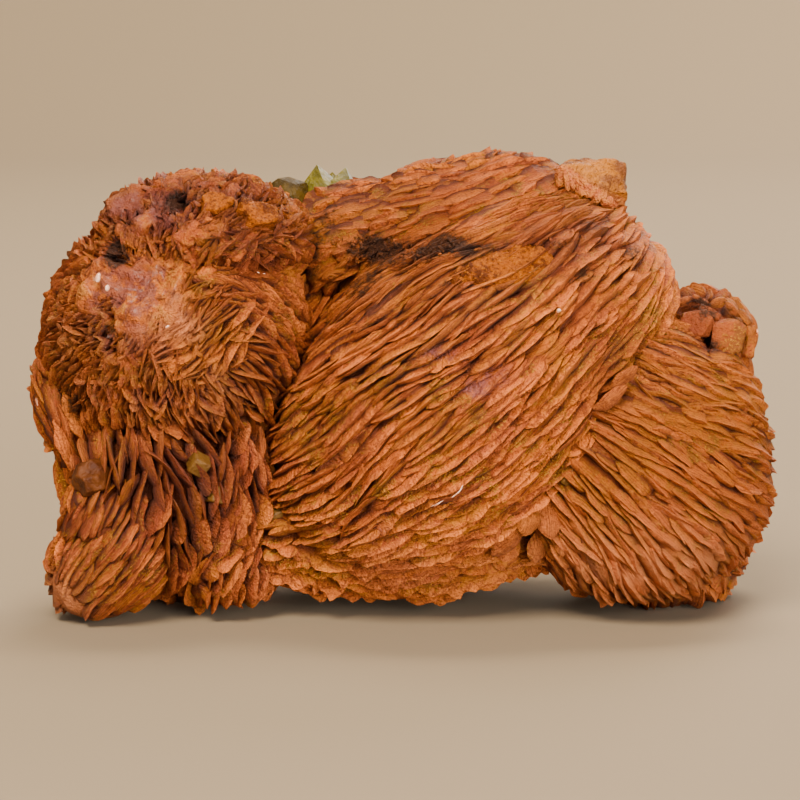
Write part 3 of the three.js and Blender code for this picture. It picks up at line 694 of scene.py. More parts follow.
# Thick flat plates with straight sides: at, which way the face looks, which way it points, length,
# width and thickness in mm, and where its sides lie, in degrees round the face.
slabs = {
    "knobSlabs": [((41.6, -6.6, 43.2), (-.35, -1, .35), (1, 0, .35), (5.4, 4.2, 1.7),
                   (10, 75, 140, 195, 250, 310)),
                  ((46.2, -6.6, 41.2), (.15, -1, .2), (.8, 0, .8), (6.2, 5.0, 1.9),
                   (0, 55, 125, 180, 235, 300)),
                  ((43.6, -5.4, 44.6), (.2, -1, .5), (1, 0, -.6), (3.4, 1.5, 1.2), (0, 90, 180, 270)),
                  ((49.4, -4.6, 40.4), (.6, -1, .1), (0, 0, 1), (5.0, 1.8, 1.4), (0, 80, 180, 260)),
                  ((38.8, -7.2, 40.6), (-.1, -1, .4), (1, 0, -.1), (5.0, 1.9, 1.3), (0, 70, 180, 290))],
    "ochreLumps": [((-27.2, -13.4, 60.5), (.05, -.6, .75), (1, 0, .1), (5.2, 4.4, 3.2),
                    (0, 65, 130, 190, 250, 310)),
                   ((-21.4, -12.8, 59.2), (.3, -.6, .7), (.9, 0, -.3), (5.8, 4.6, 3.2),
                    (20, 100, 160, 230, 300)),
                   ((-17.5, -8.2, 58.7), (.3, -.6, .7), (.9, 0, -.4), (3.2, 2.2, 2.0), (10, 90, 170, 260))],
    "crustLumps": [((-39.0, -8.2, 60.0), (-.3, -.6, .75), (1, .1, .12), (8.5, 5.2, 3.0),
                    (0, 50, 110, 170, 215, 265, 320)),
                   ((-36.4, -13.2, 58.4), (-.1, -.7, .7), (.8, .1, .3), (4.6, 3.2, 2.4),
                    (0, 70, 140, 200, 280)),
                   ((-30.4, -16.4, 56.4), (0, -.8, .6), (1, 0, .2), (4.4, 2.6, 2.0),
                    (0, 60, 130, 210, 290))],
    "ochrePatch": [((14.2, -17.8, 52.35), (-.03, -.78, .62), (1, 0, .2), (15, 6.2, 1.9),
                    (12, 45, 70, 105, 150, 190, 222, 262, 300, 338)),
                   ((8.0, -18.3, 51.2), (-.2, -.75, .62), (1, 0, .35), (4.2, 2.8, 1.2),
                    (0, 60, 120, 190, 250, 310))],
}
# soft: the higher, the sharper the edges; reach: a side's distance over the length or width there;
# slants: of the sides, in turn.
slabShape = {"grid": (28, 44), "soft": 60, "reach": 0.43, "slants": (-0.2, 0.3), "darker": 0.3}
slabRough = {"knobSlabs": 0.13, "ochrePatch": 0.42, "ochreLumps": 0.45, "crustLumps": 0.9}  # mm


def slabsOf(name):
    # each plate is the space between its two faces and its slanted sides, on a sphere's rows and columns
    found = []
    for k, (at, out, along, size, sides) in enumerate(slabs[name]):
        out, along = unit(np.array(out, float)), unit(np.array(along, float))
        across = unit(np.cross(out, along))
        along = np.cross(across, out)
        angle = np.radians(np.array(sides, float))
        normal = along * np.cos(angle)[:, None] + across * np.sin(angle)[:, None]
        reach = slabShape["reach"] * np.hypot(size[0] * np.cos(angle), size[1] * np.sin(angle))
        tilt = np.resize(slabShape["slants"], len(sides))[:, None] * out
        normal = np.concatenate([unit(normal + tilt), [out, -out]])
        height = np.concatenate([reach, [size[2] / 2, size[2] / 2]])
        found.append(roundedHull(np.array(at, float), normal, height, slabShape | {"rough": slabRough[name]},
                                 40 + k, np.stack([along, across, out])))
    points, uv, values = zip(*found)
    values = {key: np.concatenate([v[key] for v in values]) for key in values[0]}
    values["crest"], values["tone"] = values["crest"] - 0.2, values["tone"] - slabShape["darker"]
    return np.concatenate(points), np.concatenate(uv), values


# Loose grains and lumps: the lobes and spots that they lie on, how many are tried and kept, the share
# of them in the worn middle, and in mm their length, width and thickness.
crumbs = {"on": crustedLobes, "spots": crustSpots[:2], "tries": 9000, "count": 460, "inWorn": 0.02,
          "long": (0.8, 2.4), "wide": (0.5, 1.5), "high": (0.25, 0.6)}
bandGrains = {"on": ("crown", "saddle", "centre"), "spots": bandSpots, "tries": 9000, "count": 420,
              "inWorn": 1, "long": (0.5, 1.5), "wide": (0.3, 0.8), "high": (0.3, 0.7)}
knobs = {"on": crustedLobes, "spots": crustSpots[:2], "tries": 400, "count": 12, "inWorn": 0.1,
         "long": (1.8, 3.6), "wide": (1.4, 2.8), "high": (1.0, 1.7)}


def placesOf(grains):
    # random places and normals on the lobes within the spots, fewer of them in the rosette's middle
    at, out = [], []
    for name in grains["on"]:
        point, normal = surfaceAt(lobes[name], unit(draw.normal(size=(grains["tries"], 3))))
        keep = (depthInOthers(name, point) > 1) & (inSpots(point, grains["spots"]) < 1.05)
        keep &= (inSpots(point, pitSpots) > 1) & (inSpots(point, lumpSpots) > 1)
        share = np.clip(inSpots(point, wornSpots) - 0.4, grains["inWorn"], 1)
        keep &= draw.uniform(0, 1, len(point)) < share
        at.append(point[keep])
        out.append(normal[keep])
    at, out = np.concatenate(at), np.concatenate(out)
    chosen = draw.permutation(len(at))[:grains["count"]]
    return at[chosen], out[chosen]


def sizesOf(grains, count):
    # length, width and thickness between their limits, small ones the most
    size = draw.uniform(0, 1, count) ** 2
    return [low + (top - low) * size for low, top in (grains[key] for key in ("long", "wide", "high"))]


def growGrains(grains):
    # short grains set every way
    at, out = placesOf(grains)
    along = unit(draw.normal(size=at.shape) + 0.2 * out)
    at = at + out * draw.uniform(0.1, 0.9, len(at))[:, None]
    return freeTubes(at, along, unit(draw.normal(size=at.shape)), *sizesOf(grains, len(at)), grid=(5, 6),
                     pointed=3, rough=0.22)


def growKnobs():
    # rounded lumps half sunk in the crust
    at, out = placesOf(knobs)
    along = unit(np.cross(out, draw.normal(size=at.shape)))
    points, uv, values = freeTubes(at + 0.2 * out, along, out, *sizesOf(knobs, len(at)), grid=(11, 10),
                                   pointed=3, rough=0.6, lens=False, seed=3)
    values["sheets"] = np.zeros(values["sheets"].shape)
    return points, uv * np.array([9, 1]), values


# Painted highlights: small pale glossy chips, a few at each place, facing nearly halfway between the
# camera and the key light so that they flash: at, which way their row points and how far it spreads,
# and the length, width and thickness of one, in mm.
glints = {
    "places": [((-43.6, -17.9, 50.9), (.3, 0, 1), 0.2, (1.3, 0.75, 0.7)),
               ((-42.2, -18.7, 49.5), (.2, 0, 1), 0.15, (0.9, 0.6, 0.7)),
               ((-33.6, -22.3, 44.6), (1, 0, .4), 0.2, (0.5, 0.3, 0.5)),
               ((21, -23.7, 47.1), (1, 0, 0), 0.1, (0.6, 0.5, 0.7)),
               ((50.6, -4.6, 41.6), (0, 0, 1), 0.2, (0.7, 0.35, 0.6)),
               ((-53.4, -6, 31.5), (-.3, 0, 1), 0.5, (1.4, 0.25, 0.5)),
               ((-20.5, -17.2, 51.5), (1, 0, -.2), 0.3, (0.5, 0.2, 0.5)),
               ((4.7, -25.0, 20.4), (.8, 0, .55), 0.7, (2.2, 0.14, 0.6)),
               ((7.4, -25.4, 22.2), (.8, 0, .55), 0.7, (2.2, 0.14, 0.6))],
    "facing": (-0.149, -0.888, 0.436), "chips": 2,
}


def growGlints():
    # chips spread along each place's row, all facing nearly one way, towards camera and key light: painted
    # highlights
    at, row, spread, size = (np.repeat(np.array(x, float), glints["chips"], axis=0)
                             for x in zip(*glints["places"]))
    out = unit(np.array(glints["facing"]) + draw.normal(0, 0.05, at.shape))
    along = unit(row + draw.normal(0, 0.12, at.shape))
    at = at + along * draw.normal(0, 1, (len(at), 1)) * spread[:, None] + draw.normal(0, 0.1, at.shape)
    size = size * draw.uniform(0.5, 1.1, (len(at), 1))
    return freeTubes(at, along, out, *size.T, grid=(7, 7), pointed=3, rough=0.16)


block = {
    "corners": [(22, -1, 65.4), (25, 3, 66.4), (31.4, 2, 65.6), (32.3, 4.5, 64), (32, 1.2, 61.5),
                (31.5, 3, 59.3), (24, 0, 58), (20, 2, 61), (31, 9, 65.2), (31.6, 9.5, 60.5),
                (24, 11, 65.2), (21, 10, 60), (27.5, -1, 61.8)],
    "grid": (70, 100), "soft": 14, "rough": 0.5,
}
brownCrystal = {"at": (-44.9, -14.0, 21.9), "cube": 2.5, "octahedron": 3.9, "turn": (15, 25, 10),
                "grid": (50, 72), "soft": 7, "rough": 0.3}
blockRibs = {"from": (22.4, -2.2, 64.4), "to": (29.4, -1.6, 60.6), "count": 10, "long": 3.4, "wide": 1.6,
             "high": 1.5, "points": (-0.15, 0.25, 1), "faces": (-0.2, -1, 0.3),
             "strays": (0.45, 0.22, 0.15), "spread": (0.55, 1.3)}


def hullFaces(corners):
    # the planes through three corners with none of the others outside: outward normals and distances
    i, j, k = (x.ravel() for x in np.meshgrid(*[np.arange(len(corners))] * 3, indexing="ij"))
    normal = np.cross(corners[j] - corners[i], corners[k] - corners[i])
    good = np.linalg.norm(normal, axis=1) > 1e-6
    normal = unit(normal[good])
    height = (normal * corners[i[good]]).sum(1)
    outer = (normal @ corners.T <= height[:, None] + 1e-6).all(1) & (height > 0)
    return normal[outer], height[outer]


def roundedHull(middle, normal, height, shape, seed, axes=np.eye(3)):
    # the distance to the nearest face in each direction from the middle, as a soft minimum, with noise
    direction = sphereGrid(*shape["grid"])[2] @ axes
    facing = np.maximum(direction @ normal.T, 1e-6)
    near = (facing / height).max(-1, keepdims=True)
    reach = 1 / (near[..., 0] * ((facing / height / near) ** shape["soft"]).mean(-1) ** (1 / shape["soft"]))
    reach = np.minimum(reach, 1.02 / near[..., 0])
    point = middle + direction * reach[..., None]
    rough = noises(point, ((1, 3, seed), (0.6, 1.2, seed + 1), (0.3, 0.6, seed + 2)))
    point = point + direction * (shape["rough"] * rough)[..., None]
    # crest follows the noise, so the material paints the hollows darker: painted shade
    values = {"tone": 0.5 + 0 * rough, "crest": 0.6 + 0.3 * rough, "sheets": 0 * rough}
    return asOneTube(point, point[..., [0, 2]], values)


def blockOf():
    # the hull of the block's corners, its edges rounded
    corners = np.array(block["corners"], float)
    middle = corners.mean(0)
    return roundedHull(middle, *hullFaces(corners - middle), block, 21)


def brownCrystalOf():
    # a cube's six faces and an octahedron's eight, turned about X, Y and Z
    axes = np.concatenate([np.eye(3), -np.eye(3)])
    corners = np.array(list(product((-1, 1), repeat=3))) / math.sqrt(3)
    turned = np.array(Euler(np.radians(brownCrystal["turn"])).to_matrix())
    normal = np.concatenate([axes, corners]) @ turned.T
    height = np.array([brownCrystal["cube"]] * 6 + [brownCrystal["octahedron"] / math.sqrt(3)] * 8)
    return roundedHull(np.array(brownCrystal["at"]), normal, height, brownCrystal, 31)


def ribsOf():
    # upright ribs side by side on the line of the block's pale band
    ribs, count = blockRibs, blockRibs["count"]
    t = np.linspace(0, 1, count)[:, None]
    line = np.array(ribs["from"]) * (1 - t) + np.array(ribs["to"]) * t
    at, along, out = (np.array(middle) + draw.normal(0, stray, line.shape) for middle, stray
                      in zip((line, ribs["points"], ribs["faces"]), ribs["strays"]))
    size = [ribs[key] * draw.uniform(*ribs["spread"], count) for key in ("long", "wide", "high")]
    return freeTubes(at, along, out, *size, grid=(15, 12), pointed=3, rough=0.25, seed=9)


class Socket:
    # a shader value: arithmetic on it adds Math nodes
    def __init__(self, graph, socket):
        self.graph, self.socket = graph, socket

    def math(self, operation, other=None, clamp=False):
        inputs = {0: self} if other is None else {0: self, 1: other}
        return self.graph.node("ShaderNodeMath", {"operation": operation, "use_clamp": clamp}, inputs)

    def flipped(self, operation, other):
        return self.graph.node("ShaderNodeMath", {"operation": operation}, {0: other, 1: self})

    def __add__(self, other): return self.math("ADD", other)
    def __sub__(self, other): return self.math("SUBTRACT", other)
    def __mul__(self, other): return self.math("MULTIPLY", other)
    def __radd__(self, other): return self.flipped("ADD", other)
    def __rsub__(self, other): return self.flipped("SUBTRACT", other)
    def __rmul__(self, other): return self.flipped("MULTIPLY", other)

    def clamped(self):
        return self.math("ADD", 0.0, clamp=True)

    def between(self, low, high):
        # 0 at low, 1 at high, smooth and held outside
        return self.graph.node("ShaderNodeMapRange", {"interpolation_type": "SMOOTHSTEP"},
                               {"Value": self, "From Min": low, "From Max": high})


class Graph:
    # a material's nodes
    def __init__(self, name):
        self.material = bpy.data.materials.new(name)
        self.material.use_nodes = True
        self.tree = self.material.node_tree
        self.shader = self.tree.nodes["Principled BSDF"]
        self.output = self.tree.nodes["Material Output"]

    def node(self, kind, settings=None, inputs=None, output=0):
        made = self.tree.nodes.new(kind)
        for key, value in (settings or {}).items():
            setattr(made, key, value)
        for key, value in (inputs or {}).items():
            self.feed(made.inputs[key], value)
        return Socket(self, made.outputs[output])

    def feed(self, target, value):
        if isinstance(value, Socket):
            self.tree.links.new(value.socket, target)
        elif isinstance(value, tuple) and target.type == "RGBA":
            target.default_value = (*value, 1)
        else:
            target.default_value = value

    def mix(self, share, first, second):
        # colours, by the share of the second
        return self.node("ShaderNodeMix", {"data_type": "RGBA"}, {0: share, 6: first, 7: second}, output=2)

    def over(self, colour, look, layers):
        # the look's named colours, each laid over what is there by its share
        for share, name in layers:
            colour = self.mix(share, colour, look[name])
        return colour

    def attribute(self, name):
        return self.node("ShaderNodeAttribute", {"attribute_name": name}, output=2)

    def noise(self, vector, scale, detail=3.0, roughness=0.55):
        return self.node("ShaderNodeTexNoise", None,
                         {"Vector": vector, "Scale": scale, "Detail": detail, "Roughness": roughness})

    def place(self):
        return self.node("ShaderNodeTexCoord", output=3)

    def noises(self, vector, look):
        # the look's noises, in their order
        return [self.noise(vector, *numbers) for numbers in look["noises"].values()]

    def part(self, vector, axis):
        return self.node("ShaderNodeSeparateXYZ", None, {"Vector": vector}, output=axis)

    def bump(self, height, strength=1.0, distance=0.0009):
        return self.node("ShaderNodeBump", None,
                         {"Strength": strength, "Distance": distance, "Height": height})

    def set(self, **inputs):
        for key, value in inputs.items():
            self.feed(self.shader.inputs[key.replace("_", " ")], value)

    def setGrainy(self, look, colour, fine, grain, cloud):
        # matt and rough, with a sparkle on the highest grains
        self.set(Base_Color=colour, Roughness=look["roughness"] - grain.between(0.62, 0.7) * look["sparkle"],
                 Normal=self.bump(fine + grain * 0.7 + cloud), Specular_IOR_Level=look["shine"])
        return self.material


# Noises are scale per metre, detail and roughness.
bariteLook = {
    "deep": (0.135, 0.022, 0.004), "dull": (0.26, 0.044, 0.007), "warm": (0.51, 0.108, 0.006),
    # edge is a painted highlight, on the blades' ridges and on high grains; crest is lighter orange for the
    # blade tops, partly their pinker tone and partly painted highlight
    "crest": (0.64, 0.145, 0.014), "edge": (0.74, 0.185, 0.028), "ochre": (0.45, 0.142, 0.003),
    "olive": (0.17, 0.064, 0.004), "pink": (0.48, 0.105, 0.028), "yellow": (0.60, 0.21, 0.025),
    "gold": (0.50, 0.22, 0.010), "stainAndShade": (0.030, 0.009, 0.002), "pale": (0.66, 0.21, 0.065),
    "dusty": (0.20, 0.060, 0.055),
    "noises": {"broad": (110.0,), "fine": (1000.0, 4.0, 0.65), "grain": (3000.0, 3.0, 0.65),
               "speck": (3600.0, 1.0), "olive": (170.0, 5.0, 0.65), "mottle": (520.0, 5.0, 0.7),
               "veins": (230.0, 5.0, 0.7)},
    "lamina": (0.3, 3.6, 1.0), "layers": 2.3,  # streaks per mm along and across a blade, and its leaves
    "roughness": 0.62, "shine": 0.2, "coatRoughness": 0.3,
}


def bariteMaterial():
    # deep red-brown between the blades to orange on their crests, each blade at its own tone, with
    # ochre and olive dust, stains and worn patches from the attributes. The dark low between the blades
    # is painted shade and the light on their ridges partly painted highlight; the stain, shade and pale
    # patches add painted shade and painted light too.
    look = bariteLook
    g = Graph("barite")
    broad, fine, grain, speck, olive, mottle, veins = g.noises(g.place(), look)
    tone, crest, sheets, gaps = (g.attribute(name) for name in ("tone", "crest", "sheets", "gaps"))
    uv = g.node("ShaderNodeUVMap", {"uv_map": "UVMap"})
    streaks = g.node("ShaderNodeMapping", None, {"Vector": uv, "Scale": look["lamina"]})
    lamina = g.noise(streaks, 1.0, 4.0, 0.7)
    leaves = (g.part(uv, 1) * look["layers"] + lamina * 1.6 + fine * 0.8).math("FRACT")
    layer = leaves * sheets + (1 - sheets)
    own = (tone * 17.3 + 0.2).math("FRACT")  # each blade's own number from 0 to 1
    dusting = (olive + (1 - crest) * 0.2 + grain * 0.35 + fine * 0.2).between(0.90, 1.02)
    # painted shade: the colour darkens towards deep where crest is low between the blades, more where they
    # stand apart, and near black (the stain colour) deep in the gaps
    between = 1 - crest + gaps * 0.25 + (fine - 0.5) * gaps
    worn = (g.attribute("worn") * (0.5 + fine)).clamped()
    dusted = (g.attribute("dusty") * 0.9 + mottle * 1.8 + grain * 1.3 - 2.0).between(0.0, 0.5)
    # worn pale patches, and painted light low on the fan, keel and rosette
    pale = (g.attribute("pale") * (0.35 + fine + crest * 0.3)).clamped()
    # painted shade from the shade patches
    shade = (g.attribute("shade") * (0.45 + fine * 0.7)).clamped()
    stainedAndShaded = g.attribute("stainAndShade") * 1.1 + fine * 1.4 + grain * 1.2 + mottle * 0.6 - 1.75
    colour = g.mix((tone * 0.9 + broad * 0.9 - 0.4).between(-0.1, 0.75), look["dull"], look["warm"])
    colour = g.over(colour, look, [
        # lighter on the blade tops: partly their pinker tone, partly painted highlight
        ((crest * 0.5 + fine * 0.8 + tone * 0.4 - 0.55).between(0.2, 0.8) * 0.6, "crest"),
        (own.between(0.60, 0.90) * sheets * 0.4, "ochre"),
        (own.between(0.36, 0.08) * sheets * 0.4, "pink"),
        # painted highlight along each blade's ridge
        ((crest + grain * 0.6).between(1.0, 1.4) * sheets * 0.5, "edge"),
        ((fine * 0.9 + broad - crest * 0.2).between(0.82, 1.04) * 0.7, "ochre"),
        ((g.attribute("ochre") * (fine + 0.5)).clamped() * 0.8, "ochre"),
        # a dark line at the low side of each leaf's step: painted shade
        (layer.between(0.3, 0.0) * 0.7, "deep"),
        (lamina.between(0.46, 0.32) * sheets * 0.5, "deep"),
        (grain.between(0.50, 0.37) * 0.45, "deep"),
        (dusting * 0.75, "olive"),
        (dusting * grain.between(0.54, 0.62) * 0.8, "gold"),
        (between.between(0.45, 1.03) * 0.94, "deep"),
        (between.between(0.75, 1.3) * gaps * 0.85, "stainAndShade"),
    ])
    patchy = g.mix(veins.between(0.42, 0.56), look["dull"], look["warm"])
    patchy = g.over(patchy, look, [
        (mottle.between(0.47, 0.55) * 0.8, "crest"),
        ((mottle - veins).between(0.04, 0.14) * 0.55, "pink"),
        ((veins + mottle * 0.5).between(0.78, 0.88), "yellow"),
        (mottle.between(0.48, 0.40), "deep"),
        ((mottle + fine * 0.5).between(0.86, 0.96) * 0.5, "pale"),
        ((veins - mottle * 0.4).between(0.32, 0.24) * 0.8, "dusty"),
        (grain.between(0.48, 0.36) * 0.6, "dull"),
    ])
    colour = g.over(g.mix(worn * 0.85, colour, patchy), look, [
        (dusted * 0.8, "dusty"),
        (pale * 0.7, "pale"),
        (shade * 0.75, "deep"),
        # the stain patches: real stains, and painted shade in the pits and joins
        (stainedAndShaded.between(0.1, 0.75) * 0.93, "stainAndShade"),
        # bright flecks on high grains: painted highlight
        (grain.between(0.57, 0.68) * 0.2 * crest.clamped(), "edge"),
    ])
    height = lamina * sheets * 0.9 + layer * 0.4 + fine * 0.8 + grain * 0.6 + worn * mottle * 3.0
    rough = look["roughness"] - speck.between(0.66, 0.72) * 0.42 - worn * mottle.between(0.45, 0.6) * 0.25
    g.set(Base_Color=colour, Roughness=rough, Normal=g.bump(height),
          Coat_Weight=worn * mottle.between(0.46, 0.58) * 0.22, Coat_Roughness=look["coatRoughness"],
          Specular_IOR_Level=look["shine"])
    return g.material


blockLook = {
    "ochre": (0.35, 0.108, 0.003), "brown": (0.12, 0.030, 0.004), "warm": (0.38, 0.080, 0.004),
    "pink": (0.36, 0.080, 0.014), "light": (0.41, 0.120, 0.016),
    "noises": {"fine": (900.0, 4.0, 0.6), "grain": (2600.0, 2.0), "cloud": (230.0,)},
    "bandSlope": 0.6, "bandAt": 0.0782, "bandEdge": (0.0018, 0.0010),  # slope X + Z on it, in metres
    "roughness": 0.62, "sparkle": 0.35, "shine": 0.25,
}


def blockMaterial():
    # granular ochre with brown clouds, and a pale pink band across its lower left
    look = blockLook
    g = Graph("blockBarite")
    place = g.place()
    fine, grain, cloud = g.noises(place, look)
    band = g.part(place, 0) * look["bandSlope"] + g.part(place, 2) - look["bandAt"]
    band = band + (cloud - 0.5) * 0.002
    inBand = band.math("ABSOLUTE").between(*look["bandEdge"])
    colour = g.over(look["ochre"], look, [
        (cloud.between(0.50, 0.62) * 0.85, "brown"),
        (band.between(-0.0012, -0.0022), "warm"),
    ])
    colour = g.mix(inBand, colour, g.mix(fine.between(0.4, 0.6), look["pink"], look["light"]))
    colour = g.over(colour, look, [
        (grain.between(0.60, 0.7) * 0.25, "light"),
        (grain.between(0.46, 0.34) * 0.7, "brown"),
    ])
    return g.setGrainy(look, colour, fine, grain, cloud)


ochreLook = {
    "gold": (0.225, 0.050, 0.0012), "brown": (0.070, 0.014, 0.001), "light": (0.35, 0.098, 0.003),
    "noises": {"grain": (2200.0, 3.0, 0.6), "fine": (800.0, 4.0, 0.65), "cloud": (300.0, 4.0, 0.6)},
    "roughness": 0.6, "sparkle": 0.3, "shine": 0.08,
}


def ochreMaterial():
    # golden grains on brown, worn through in clouds
    look = ochreLook
    g = Graph("ochreBarite")
    grain, fine, cloud = g.noises(g.place(), look)
    colour = g.over(look["gold"], look, [
        ((cloud * 0.7 + fine * 0.5).between(0.58, 0.70), "brown"),
        (grain.between(0.54, 0.66) * 0.6, "light"),
        (grain.between(0.47, 0.38) * 0.75, "brown"),
    ])
    return g.setGrainy(look, colour, fine, grain, cloud)


glintLook = {"pink": (0.60, 0.24, 0.12), "white": (0.78, 0.46, 0.31), "noises": {"cloud": (1200.0, 2.0)},
             "coat": 0.7, "coatRoughness": 0.15}


def glintMaterial():
    # pale pink to white and almost polished: the pale colour adds a painted highlight to the lamps' own
    # reflection
    look = glintLook
    g = Graph("glintHighlight")
    cloud, = g.noises(g.place(), look)
    g.set(Base_Color=g.mix(cloud.between(0.4, 0.6), look["pink"], look["white"]),
          Roughness=cloud * 0.2 + 0.08, Coat_Weight=look["coat"], Coat_Roughness=look["coatRoughness"])
    return g.material


barite = bariteMaterial()
print("barite material made")

for name in lobes:
    meshPiece(name, [bladesOf(name), skinOf(name)], barite, sharpLines=(blade["crest"],))
for name in plates:
    meshPiece(name, [platesOf(name)], barite, sharpLines=(0, 7))
ochreBarite = ochreMaterial()
for name in slabs:
    meshPiece(name, [slabsOf(name)], ochreBarite if name.startswith("ochre") else barite)
meshPiece("wornKnobs", [growKnobs()], barite)
meshPiece("glints", [growGlints()], glintMaterial(), flat=True)
meshPiece("crumbs", [growGrains(crumbs)], barite, flat=True)
meshPiece("bandGrains", [growGrains(bandGrains)], barite, flat=True)
blockBarite = blockMaterial()
meshPiece("crownBlock", [blockOf()], blockBarite)
meshPiece("crownRibs", [ribsOf()], blockBarite, sharpLines=(0, 6))

# The colour of the surface and of its lighter steps, the tint of the depth and how fast it takes the
# light, how much passes through, and how far the edges are rounded, in mm.
fluoriteLooks = {
    "fluorite_green": {
        "surface": (0.070, 0.054, 0.0015), "light": (0.145, 0.112, 0.004), "depth": (0.80, 0.76, 0.14),
        "density": 260.0, "clear": 0.25, "roughness": 0.25, "shine": 0.25, "bevel": 0.55,
    },
    "fluorite_dark": {
        "surface": (0.026, 0.014, 0.001), "light": (0.058, 0.031, 0.002), "depth": (0.4, 0.5, 0.15),
        "density": 600.0, "clear": 0.05, "roughness": 0.4, "shine": 0.12, "bevel": 0.5,
    },
    "fluorite_small": {
        "surface": (0.085, 0.056, 0.010), "light": (0.13, 0.085, 0.016), "depth": (0.5, 0.55, 0.2),
        "density": 300.0, "clear": 0.2, "roughness": 0.35, "shine": 0.25, "bevel": 0.3,
        "slot": "fluorite_dark",
    },
    "fluorite_brown": {
        "surface": (0.050, 0.012, 0.002), "light": (0.095, 0.026, 0.004), "depth": (0.5, 0.25, 0.12),
        "density": 600.0, "clear": 0.05, "roughness": 0.5, "shine": 0.15,
    },
    "fluorite_chip": {
        "surface": (0.10, 0.040, 0.006), "light": (0.14, 0.062, 0.010), "depth": (0.7, 0.6, 0.3),
        "density": 300.0, "clear": 0.15, "roughness": 0.45, "shine": 0.2, "bevel": 0.3,
        "slot": "fluorite_pale",
    },
}
# The index of refraction, the angles in degrees between faces that are joined and that are rounded,
# and in how many steps.
fluorite = {"noises": {"steps": (500.0, 2.0), "fine": (2500.0, 2.0)}, "index": 1.434, "join": 2,
            "round": 20, "segments": 3}


def fluoriteMaterial(name, look):
    # glassy and tinted through its depth, with a faintly milky surface and shallow growth steps
    g = Graph(name)
    steps, fine = g.noises(g.place(), fluorite)
    g.set(Base_Color=g.mix(steps.between(0.35, 0.65), look["surface"], look["light"]),
          Roughness=look["roughness"] + fine * 0.1, Normal=g.bump(steps + fine * 0.5, 0.7, 0.0005),
          IOR=fluorite["index"], Specular_IOR_Level=look["shine"], Transmission_Weight=look["clear"])
    depth = g.node("ShaderNodeVolumeAbsorption", None, {"Color": look["depth"], "Density": look["density"]})
    g.feed(g.output.inputs["Volume"], depth)
    return g.material


def addFluorite(node):
    # a copy of the node's crystals with its doubles merged and its flat faces joined, edges rounded
    look = fluoriteLooks.get(node, fluoriteLooks["fluorite_chip"])
    shape = bmesh.new()
    shape.from_mesh(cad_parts[node].data)
    bmesh.ops.remove_doubles(shape, verts=shape.verts, dist=1e-6)
    bmesh.ops.dissolve_limit(shape, angle_limit=math.radians(fluorite["join"]), verts=shape.verts,
                             edges=shape.edges)
    mesh = bpy.data.meshes.new(node + "Crystals")
    shape.to_mesh(mesh)
    shape.free()
    mesh.materials.append(fluoriteMaterial(node + "Look", look))
    mesh.shade_smooth()
    crystals = addPiece(node + "Crystals", mesh, node)
    bevel = crystals.modifiers.new("bevel", "BEVEL")
    bevel.width, bevel.segments = look["bevel"] * mm, fluorite["segments"]
    bevel.angle_limit = math.radians(fluorite["round"])


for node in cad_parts:
    if node.startswith("fluorite") and node != "fluorite_brown":
        addFluorite(node)
meshPiece("brownCrystal", [brownCrystalOf()],
          fluoriteMaterial("fluoriteBrown", fluoriteLooks["fluorite_brown"]),
          replaced="fluorite_brown")
print("fluorite made")

stage = {"colour": (0.208, 0.149, 0.082), "roughness": 0.9,  # metres from here on
         "wide": 3.0, "front": -2.0, "back": 0.9, "bend": 0.5, "high": 3.0, "steps": (8, 24)}


def sweep():
    # a floor that bends up behind in a quarter circle, the same profile all across
    (across, along), bend, back = stage["steps"], stage["bend"], stage["back"]
    angle = np.linspace(0, math.pi / 2, along)
    y = np.concatenate([[stage["front"]], back + bend * np.sin(angle), [back + bend]])
    z = np.concatenate([[0.0], bend * (1 - np.cos(angle)), [stage["high"]]])
    x = np.linspace(-stage["wide"], stage["wide"], across + 1)
    i, j = np.meshgrid(np.arange(across) * len(y), np.arange(len(y) - 1), indexing="ij")
    faces = np.stack([i + j, i + len(y) + j, i + len(y) + j + 1, i + j + 1], -1).reshape(-1, 4)
    mesh = bpy.data.meshes.new("floor")
    mesh.from_pydata(vectors(x[:, None], y, z).reshape(-1, 3).tolist(), [], faces.tolist())
    mesh.shade_smooth()
    g = Graph("floor")
    g.set(Base_Color=stage["colour"], Roughness=stage["roughness"])
    mesh.materials.append(g.material)
    addObject("floor", mesh)


sweep()
print("floor made")

camera = {"target": (-1.03, 0.0, 31.2), "distance": 520.0, "elevation": 8.0,  # mm and degrees
          "lens": 160.0, "sensor": 36.0, "clip": (0.01, 20.0)}


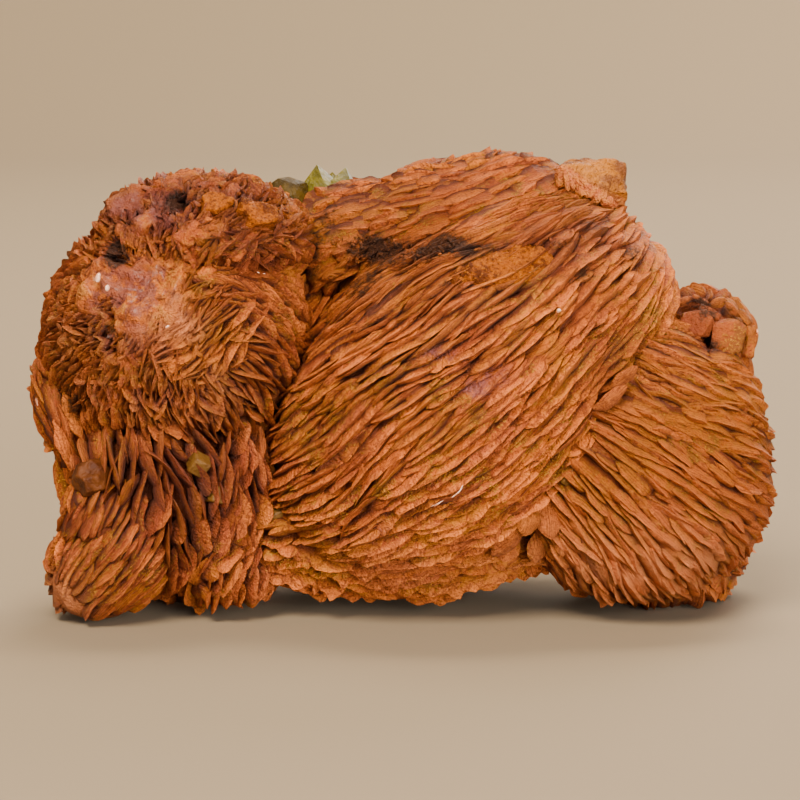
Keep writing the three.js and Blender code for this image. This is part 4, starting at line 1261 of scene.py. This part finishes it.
def addCamera():
    # at its distance from the target, straight in front and raised by the elevation
    rise = math.radians(camera["elevation"])
    back = np.array([0, -math.cos(rise), math.sin(rise)])
    data = bpy.data.cameras.new("camera")
    data.lens, data.sensor_width = camera["lens"], camera["sensor"]
    data.clip_start, data.clip_end = camera["clip"]
    made = addObject("camera", data)
    made.location = (np.array(camera["target"]) + shift + camera["distance"] * back) * mm
    made.rotation_euler = (math.pi / 2 - rise, 0, 0)
    bpy.context.scene.camera = made


addCamera()

lights = {
    "key": {"at": (-0.28, -1.1, 1.1), "to": (0, 0, 0.03), "size": 0.6, "power": 57.0,
            "colour": (1.0, 0.90, 0.78)},
    "fill": {"at": (0.8, -1.15, 0.22), "to": (0, 0, 0.03), "size": 0.9, "power": 25.0,
             "colour": (1.0, 0.95, 0.92)},
    "low": {"at": (0.45, -1.2, 0.12), "to": (0, 0, 0.02), "size": 0.7, "power": 26.0,
            "colour": (0.92, 0.93, 1.0)},
    "back": {"at": (0.5, 1.0, 0.6), "to": (0, 0, 0.03), "size": 0.7, "power": 12.0,
             "colour": (1.0, 0.93, 0.86)},
    "top": {"at": (0.1, 0.35, 0.9), "to": (0, 0.05, 0.03), "size": 0.5, "power": 7.0,
            "colour": (1.0, 0.93, 0.84)},
    "wall": {"at": (0.2, 0.3, 1.3), "to": (0, 1.4, 0.5), "size": 0.6, "power": 28.0,
             "colour": (1.0, 0.90, 0.74)},
}
sky = {"Color": (0.90, 0.91, 1.0, 1), "Strength": 0.38}


def addLight(name):
    # a square area light that faces its target
    light = lights[name]
    data = bpy.data.lights.new(name, "AREA")
    data.energy, data.size, data.color = light["power"], light["size"], light["colour"]
    made = addObject(name, data)
    made.location = light["at"]
    aim = np.array(light["to"]) - np.array(light["at"])
    made.rotation_euler = Vector(aim).to_track_quat("-Z", "Y").to_euler()


for name in lights:
    addLight(name)
print("camera and lights set")
world = bpy.data.worlds.new("world")
world.use_nodes = True
for key, value in sky.items():
    world.node_tree.nodes["Background"].inputs[key].default_value = value
bpy.context.scene.world = world
